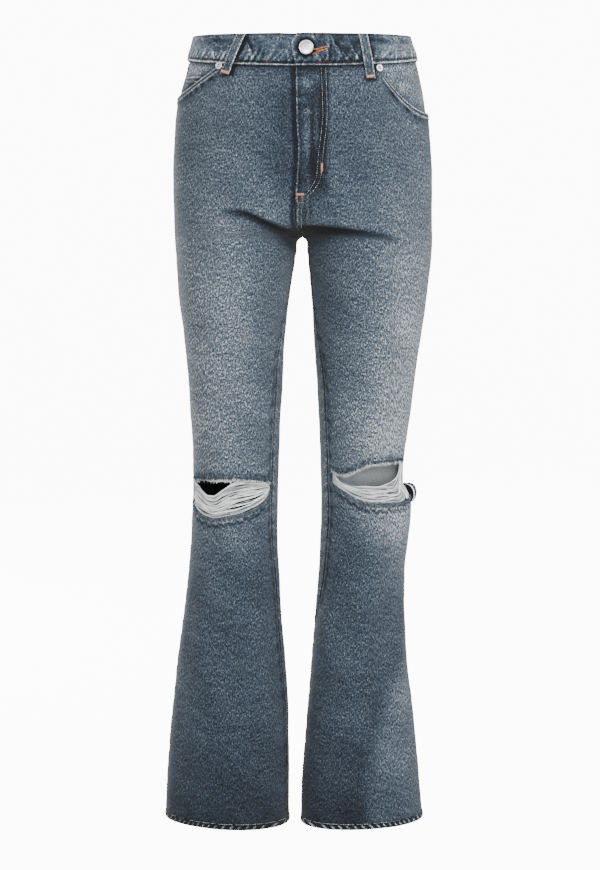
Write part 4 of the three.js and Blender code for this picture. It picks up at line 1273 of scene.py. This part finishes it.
def topstitching():
    def on_band(_, turn, z, lift):
        return band_point(turn, z, lift + BAND_PROUD)

    def on_hem(side, angle, z, lift):
        return hem_point(side, angle, z, lift + HEM_PROUD)

    turn = np.linspace(float(turn_at(12)), 360 + float(turn_at(-8)), 900)
    turn = turn[turn > 8]
    angle = around_waist(turn)[1]
    for z in (band_foot(angle) + 4.8, -3.3 + 0 * angle):
        stitch("rust_thread", on_band, 0, turn, z, .02, kept=.38)
    for inset in (0, 6):
        z = np.linspace(-47, FLY_FOOT + 1, 160)
        stitch("grey_stitch", front_point, LEFT, on_front(LEFT, J_STITCH(z) - inset, z), z, .3, 3.0, 1.9)
    for side in (RIGHT, LEFT):
        angle = np.linspace(mouth_start(side) + 1.5, SIDE_SEAM - 1, 90)
        for depth in (2.2, 7.8):
            stitch("grey_stitch", front_point, side, angle, mouth_height(side, angle) - depth, .05)
        angle = np.linspace(-172, 172, 260)
        stitch("grey_stitch", on_hem, side, angle, hem_foot(angle) + 8.2, .1, kept=.8)
        angle = np.linspace(SIDE_SEAM + 1, float(back_edge(side, np.array(-100.0))) - .5, 120)
        for depth in (2.4, 8):
            stitch("grey_stitch", back_point, side, angle, yoke_foot(side, angle) - depth, .05)
        for inset in (.09, .36):
            line_v = np.concatenate([np.linspace(.02, .97, 50), np.full(60, .97), np.linspace(.97, .02, 50)])
            line_u = np.concatenate([np.full(50, -1.0), np.linspace(-1, 1, 60), np.full(50, 1.0)])
            shrink = 1 - inset / POCKET_HALF
            angle, z = pocket_spot(side, line_u * shrink, line_v * (1 - inset * .09))
            stitch("grey_stitch", skin, side, angle, z, DENIM + PLY_GAP + .1)
        for drop in (.015, .065):
            u = np.linspace(-.97, .97, 60)
            angle, z = pocket_spot(side, u, np.full(60, drop))
            stitch("grey_stitch", skin, side, angle, z, DENIM + PLY_GAP + .1)
    for drop in (2, 7.5):
        angle = front_angle(RIGHT, np.linspace(7.05 / 11, 9.95 / 11, 40), np.full(40, float(COIN_TOP)))
        stitch("grey_stitch", skin, RIGHT, angle, COIN_TOP - drop + 0 * angle, COIN_LIFT + .1)
    z = np.linspace(-126, -272, 80)
    for inset in (2.2, 8):
        angle = section(LEFT, z)[2] - inset / span(LEFT, section(LEFT, z)[2], z)
        stitch("grey_stitch", back_point, LEFT, angle, z, .05)
    z = np.linspace(FLY_FOOT - 12, -262, 40)
    for inset in (1.6, 7.4):
        stitch("grey_stitch", front_point, LEFT, on_front(LEFT, -LAP_LINE(z) + inset, z), z, .05)
    for loop in LOOPS.values():
        v = np.linspace(.04, .9, 40)
        for u in (-.34, .34):
            side, angle, z, arch = loop_spot(loop, u, v)
            points = skin(side, angle, z, LOOP_REST + arch + .1, relief=False)
            stitched["grey_stitch"].append(stitch_run(points, 3.2, 2.2))
    for kind, material, tone in (("grey_stitch", mat_grey_stitch, (.45, 1)),
                                 ("rust_thread", mat_rust_thread, (.10, .55))):
        paths = np.concatenate(stitched[kind])
        tones = np.random.default_rng(90).uniform(*tone, len(paths))
        obj = strands("topstitch_" + kind.split("_")[0], paths, .3, material, tones, taper=.6)
        piece(obj, "denim_trim")


def satin(centre, along, across, out, length, width, rows):
    """Close parallel threads over a bar, as in a bar tack."""
    s = np.linspace(-.5, .5, rows)[:, None, None]
    w = np.linspace(-.5, .5, 5)[None, :, None]
    arch = .55 * np.cos(np.pi * w) + .05
    return centre + along * length * s + across * width * w + out * arch


def frame_at(surface, side, angle, z, lift, way):
    """Point, direction on the cloth (way in degrees from level), its cross direction, and outwards."""
    one = int(side), np.array([float(angle)]), np.array([float(z)])
    here = surface(*one, lift)[0]
    out = surface(*one, lift + 1)[0] - here
    out /= np.linalg.norm(out)
    level = np.cross(out, [0, 0, 1.0])
    level = level / np.linalg.norm(level) * (1 if np.dot(level, [1, 0, 0]) > 0 else -1)
    rise = np.cross(level, out)
    rise *= 1 if rise[2] > 0 else -1
    w = math.radians(way)
    return here, level * math.cos(w) + rise * math.sin(w), rise * math.cos(w) - level * math.sin(w), out


def bar_tacks():
    paths = []
    for loop in LOOPS.values():
        foot_x, way = loop[1], loop[3]
        side, angle, z, _ = loop_spot(loop, 0, .955)
        here, along, _, out = frame_at(
            lambda s, a, h, l: skin(s, a, h, l, relief=False), side, angle, z, LOOP_REST + .25, 0)
        lean = math.radians((-18 if foot_x < 0 else 8) if way < 0 else 0)
        rise = np.array([0, 0, 1.0])
        bar = along * math.cos(lean) + rise * math.sin(lean)
        cross = rise * math.cos(lean) - along * math.sin(lean)
        paths.append(satin(here, bar, cross, out, 12.2, 3.8, 30))
    for x, z, way, length, width, rows in ((26, -181, 90, 11, 3.2, 22), (-3.8, -217, 0, 10, 3.4, 22),
                                           (-7.5, -223.5, 90, 8, .9, 8), (.5, -223.5, 90, 8, .9, 8),
                                           (-3.5, -228, 0, 8, .9, 8)):
        angle = float(on_front(LEFT, x, z))
        paths.append(satin(*frame_at(front_point, LEFT, angle, z, .15, way), length, width, rows))
    paths = np.concatenate(paths)
    tones = np.random.default_rng(91).uniform(.45, .95, len(paths))
    piece(strands("bar_tacks", paths, .3, mat_rust_thread, tones, taper=.7), "denim_trim")


def buttonhole():
    """Keyhole worked in satin stitch, with its eye towards the button."""
    eye, end = np.array([12.5, -26.0]), np.array([33.6, -19.6])
    run = end - eye
    length = np.linalg.norm(run)
    run /= length
    cross = np.array([-run[1], run[0]])
    paths = []
    for way in (-1, 1):
        for s in np.linspace(0, 1, 46):
            gap = .6 + 1.7 * max(0, 1 - s * 4) ** .6
            stem = eye + run * length * s
            near, far = stem + cross * way * gap, stem + cross * way * (gap + 1.9 - .9 * s ** 4)
            steps = np.linspace(0, 1, 4)[:, None]
            line = near + (far - near) * steps
            turn = turn_at(line[:, 0])
            lift = BAND_PROUD + .35 + .4 * np.sin(np.pi * steps[:, 0])
            paths.append(band_point(turn, line[:, 1], lift))
    tones = np.random.default_rng(92).uniform(.25, .75, len(paths))
    piece(strands("buttonhole", paths, .34, mat_rust_thread, tones, taper=.8), "denim_band")
    # a near-black thread along the slit: painted shade in the opening
    s = np.linspace(-.03, 1.0, 16)[:, None]
    slit = eye + run * length * s
    paths = [band_point(turn_at(slit[:, 0]), slit[:, 1], BAND_PROUD + .1)]
    piece(strands("buttonhole_slit", paths, .75, mat_blue_thread, [0.0]), "denim_band")


def lathe(name, side, angle, z, lift, profile, mats, bands, facets=64):
    """A turned disc standing on the cloth; bands gives the material of each step of the profile."""
    one = np.array([float(side)]), np.array([float(angle)]), np.array([float(z)])
    foot = skin(*one, lift, relief=False)[0]
    out = skin(*one, lift + 1, relief=False)[0] - foot
    out /= np.linalg.norm(out)
    level = np.cross(out, [0, 0, 1.0])
    level /= np.linalg.norm(level)
    rise = np.cross(level, out)
    turn = np.arange(facets) * math.tau / facets
    ring = np.cos(turn)[:, None] * level + np.sin(turn)[:, None] * rise
    verts = np.concatenate([foot + ring * r + out * h for r, h in profile])
    ids = np.arange(len(profile) * facets).reshape(len(profile), facets)
    nxt = np.roll(ids, -1, 1)
    faces = np.stack([ids[:-1], ids[1:], nxt[1:], nxt[:-1]], -1).reshape(-1, 4)
    slots = np.repeat(bands, facets)
    return add_mesh(name, verts, faces, slots, None, None, mats)


# Profiles of the turned pieces: radius and height.
BUTTON = ((.01, 0), (6.5, 0), (7.5, .9), (9.2, 1.3), (9.75, 1.7), (9.9, 2.2), (9.6, 2.8), (9.0, 3.1),
          (8.4, 3.05), (8.1, 2.7), (7.9, 2.62), (7.6, 2.7), (5, 2.95), (2.5, 3.05), (.01, 3.1))
RIVET = ((.01, 0), (5.0, 0), (5.2, .5), (4.9, 1.1), (4.2, 1.45), (3.3, 1.45), (2.5, 1.2), (1.9, .75),
         (1.5, .6), (1.2, .75), (.9, 1.1), (.5, 1.25), (.01, 1.3))


def metal_pieces():
    angle = float(angle_at(LEFT, BUTTON_AT[1], BUTTON_AT[0]))
    obj = lathe("button", LEFT, angle, BUTTON_AT[1], BAND_PROUD + PLY_GAP, BUTTON, (mat_button, mat_patina),
                [1, 1, 1, 1, 0, 0, 0, 0, 0, 1, 0, 0, 0, 0])
    piece(obj, "button_metal", "button")
    for word, side, x, z in (("right", RIGHT, 113, -43.5), ("left", LEFT, 103.8, -46.7)):
        angle = float(angle_at(side, float(z), x))
        obj = lathe(f"rivet_{word}", side, angle, z, BAND_PROUD + PLY_GAP, RIVET, (mat_rivet, mat_patina),
                    [1, 1, 0, 0, 0, 0, 0, 1, 1, 0, 0, 0], 40)
        piece(obj, "rivet_metal", f"rivet_{word}")


# ---------------------------------------------------------------- making
waist = waistband()
for side, word in ((RIGHT, "right"), (LEFT, "left")):
    front(side, word)
    # the backs' wrong side near the rips: darker on the right as painted shade inside the leg, lighter on
    # the left as painted light coming in through the rip
    if side == RIGHT:
        behind = lambda side, angle, z: .16 - .2 * bump(z, -635, 60)
    else:
        behind = lambda side, angle, z: .16 + .66 * bump(z, -612, 45) * smooth(8, 34, angle)
    back(side, word, behind)
    yoke(side, word)
    pocket_facing(side, word)
    back_pocket(side, word)
    hem(side, word)
coin_pocket()
for name, loop in LOOPS.items():
    belt_loop(name, loop)

knee_threads(RIGHT, "right", 24, 101)
knee_threads(LEFT, "left", 18, 102)
outer_web()
rim_threads(RIGHT, "right", 34, (.22, .95), 6.5, 141)
rim_threads(LEFT, "left", 16, (.30, .62), 6.0, 142)
# Fraying: piece, edge, offset, way, count, lengths, lifts, tones, radii, material, seed.
FRAYS = (
    ("fray_upper_", "upper", 2.2, (0, 28), 620, (2.5, 6), (.1, .7), (.12, .62), (.16, .3),
     mat_blue_thread, 110),
    ("fray_pale_", "upper", .2, (0, 24), 260, (3, 8), (-.5, .4), (.6, 1), (.14, .24),
     mat_white_thread, 120),
    ("fray_lower_", "lower", 1.2, (0, 35), 900, (3, 7.5), (.3, 1.5), (.22, .80), (.18, .34),
     mat_blue_thread, 130),
)
for side, word in ((RIGHT, "right"), (LEFT, "left")):
    for start, *shape, seed in FRAYS:
        fray(start + word, side, *shape, seed + side)
topstitching()
bar_tacks()
buttonhole()
metal_pieces()

FLAT = {
    # name: width and length in metres, share of that rectangle, what it is sewn to
    "front_right": (.285, 1.07, .80, "hung", ["waistband"]),
    "front_left": (.285, 1.07, .80, "hung", ["waistband"]),
    "back_right": (.31, 1.0, .80, "hung", ["yoke_right"]),
    "back_left": (.31, 1.0, .80, "hung", ["yoke_left"]),
    "yoke_right": (.215, .088, .70, "hung", ["waistband"]),
    "yoke_left": (.215, .088, .70, "hung", ["waistband"]),
    "pocket_facing_right": (.13, .095, .52, "hung", ["waistband"]),
    "pocket_facing_left": (.13, .105, .70, "hung", ["waistband"]),
    "back_pocket_right": (.115, .13, .90, "hung", ["back_right"]),
    "back_pocket_left": (.115, .13, .90, "hung", ["back_left"]),
    "hem_right": (.49, .0095, 1, "folded", ["front_right", "back_right"]),
    "hem_left": (.49, .0095, 1, "folded", ["front_left", "back_left"]),
    "coin_pocket": (.058, .04, 1, "hung", ["pocket_facing_right"]),
}
TORN = ("knee_threads_", "rim_threads_", "fray_upper_", "fray_pale_", "fray_lower_", "rivet_")
ON_CLOTH = {
    "front_right": [part + "right" for part in TORN],
    "front_left": [part + "left" for part in TORN] + ["outer_web_left", "outer_loop_left"],
    "waistband": ["button", "buttonhole", "buttonhole_slit"],
}
for name, (width, length, share, held, rests_on) in FLAT.items():
    [made[n] for n in ON_CLOTH.get(name, ())]
[made[n] for n in ON_CLOTH["waistband"]]

# ---------------------------------------------------------------- camera, floor and light
EYE_DISTANCE, EYE_SIDE, EYE_HEIGHT, AIM_HEIGHT = 3.5, -.0035, -.20, -.555
SENSOR, LENS = 36.0, 103.4
WORLD_LIGHT, PAPER_GLOW = 1.1, 10.0
# Each lamp: place, what it points at, width and height, watts.
LAMPS = {
    "key": ((1.9, -2.3, 1.3), (0, 0, -.5), (1.1, 1.1), 150),
    "fill": ((-2.2, -2.4, .4), (0, 0, -.5), (2.0, 2.0), 40),
    "front": ((.25, -3.7, -.1), (0, 0, -.55), (.9, .9), 95),
    "back": ((-2.0, 2.8, .8), (0, 0, -.5), (1.6, 1.6), 190),
}
camera = bpy.data.cameras.new("camera")
camera.sensor_width = SENSOR
camera.lens = LENS
eye = bpy.data.objects.new("camera", camera)
bpy.context.scene.collection.objects.link(eye)
eye.location = (EYE_SIDE, -EYE_DISTANCE, EYE_HEIGHT)
eye.rotation_euler = (Vector((EYE_SIDE, 0, AIM_HEIGHT)) - eye.location).to_track_quat("-Z", "Y").to_euler()
bpy.context.scene.camera = eye


def backdrop():
    """A round pale floor that curves up into a wall all the way round."""
    floor, flat, bend, top, facets = cad_low[2] * 1000 - 120, 6000, 3000, 9000, 72
    turn = np.linspace(0, math.pi / 2, 12)
    reach = np.concatenate([[1, flat / 2], flat + bend * np.sin(turn), [flat + bend]])
    height = np.concatenate([[floor, floor], floor + bend * (1 - np.cos(turn)), [top]])
    around = np.arange(facets) * math.tau / facets
    verts = np.stack([reach[:, None] * np.cos(around), reach[:, None] * np.sin(around),
                      np.broadcast_to(height[:, None], (len(height), facets))], -1)
    ids = np.arange(verts.shape[0] * facets).reshape(-1, facets)
    nxt = np.roll(ids, -1, 1)
    faces = np.stack([ids[:-1], nxt[:-1], nxt[1:], ids[1:]], -1).reshape(-1, 4)
    n = Nodes("studio_paper")
    place = n.add("ShaderNodeTexCoord").outputs["Object"]
    speck = n.maths("ADD", n.maths("MULTIPLY", n.noise(place, 3.0), .2), .5)
    n.shader.inputs["Emission Color"].default_value = (1, 1, 1, 1)
    n.shader.inputs["Emission Strength"].default_value = PAPER_GLOW
    obj = add_mesh("floor", verts, faces, None, None, None,
                   [n.finish(n.ramp(speck, ((0, (247, 247, 247)), (1, (252, 252, 252)))), .9)])
    # the paper's glow and shadow stay off the cloth
    obj.visible_diffuse = obj.visible_glossy = obj.visible_shadow = False


def area_light(name, place, aim, size, power):
    light = bpy.data.lights.new(name, "AREA")
    light.shape = "RECTANGLE"
    light.size, light.size_y = size
    light.energy = power
    obj = bpy.data.objects.new(name, light)
    obj.location = place
    obj.rotation_euler = (Vector(aim) - Vector(place)).to_track_quat("-Z", "Y").to_euler()
    obj.visible_camera = False
    bpy.context.scene.collection.objects.link(obj)


backdrop()
world = bpy.data.worlds.new("studio")
world.use_nodes = True
world.node_tree.nodes["Background"].inputs["Color"].default_value = (1, 1, 1, 1)
world.node_tree.nodes["Background"].inputs["Strength"].default_value = WORLD_LIGHT
bpy.context.scene.world = world
for name, lamp in LAMPS.items():
    area_light(name, *lamp)
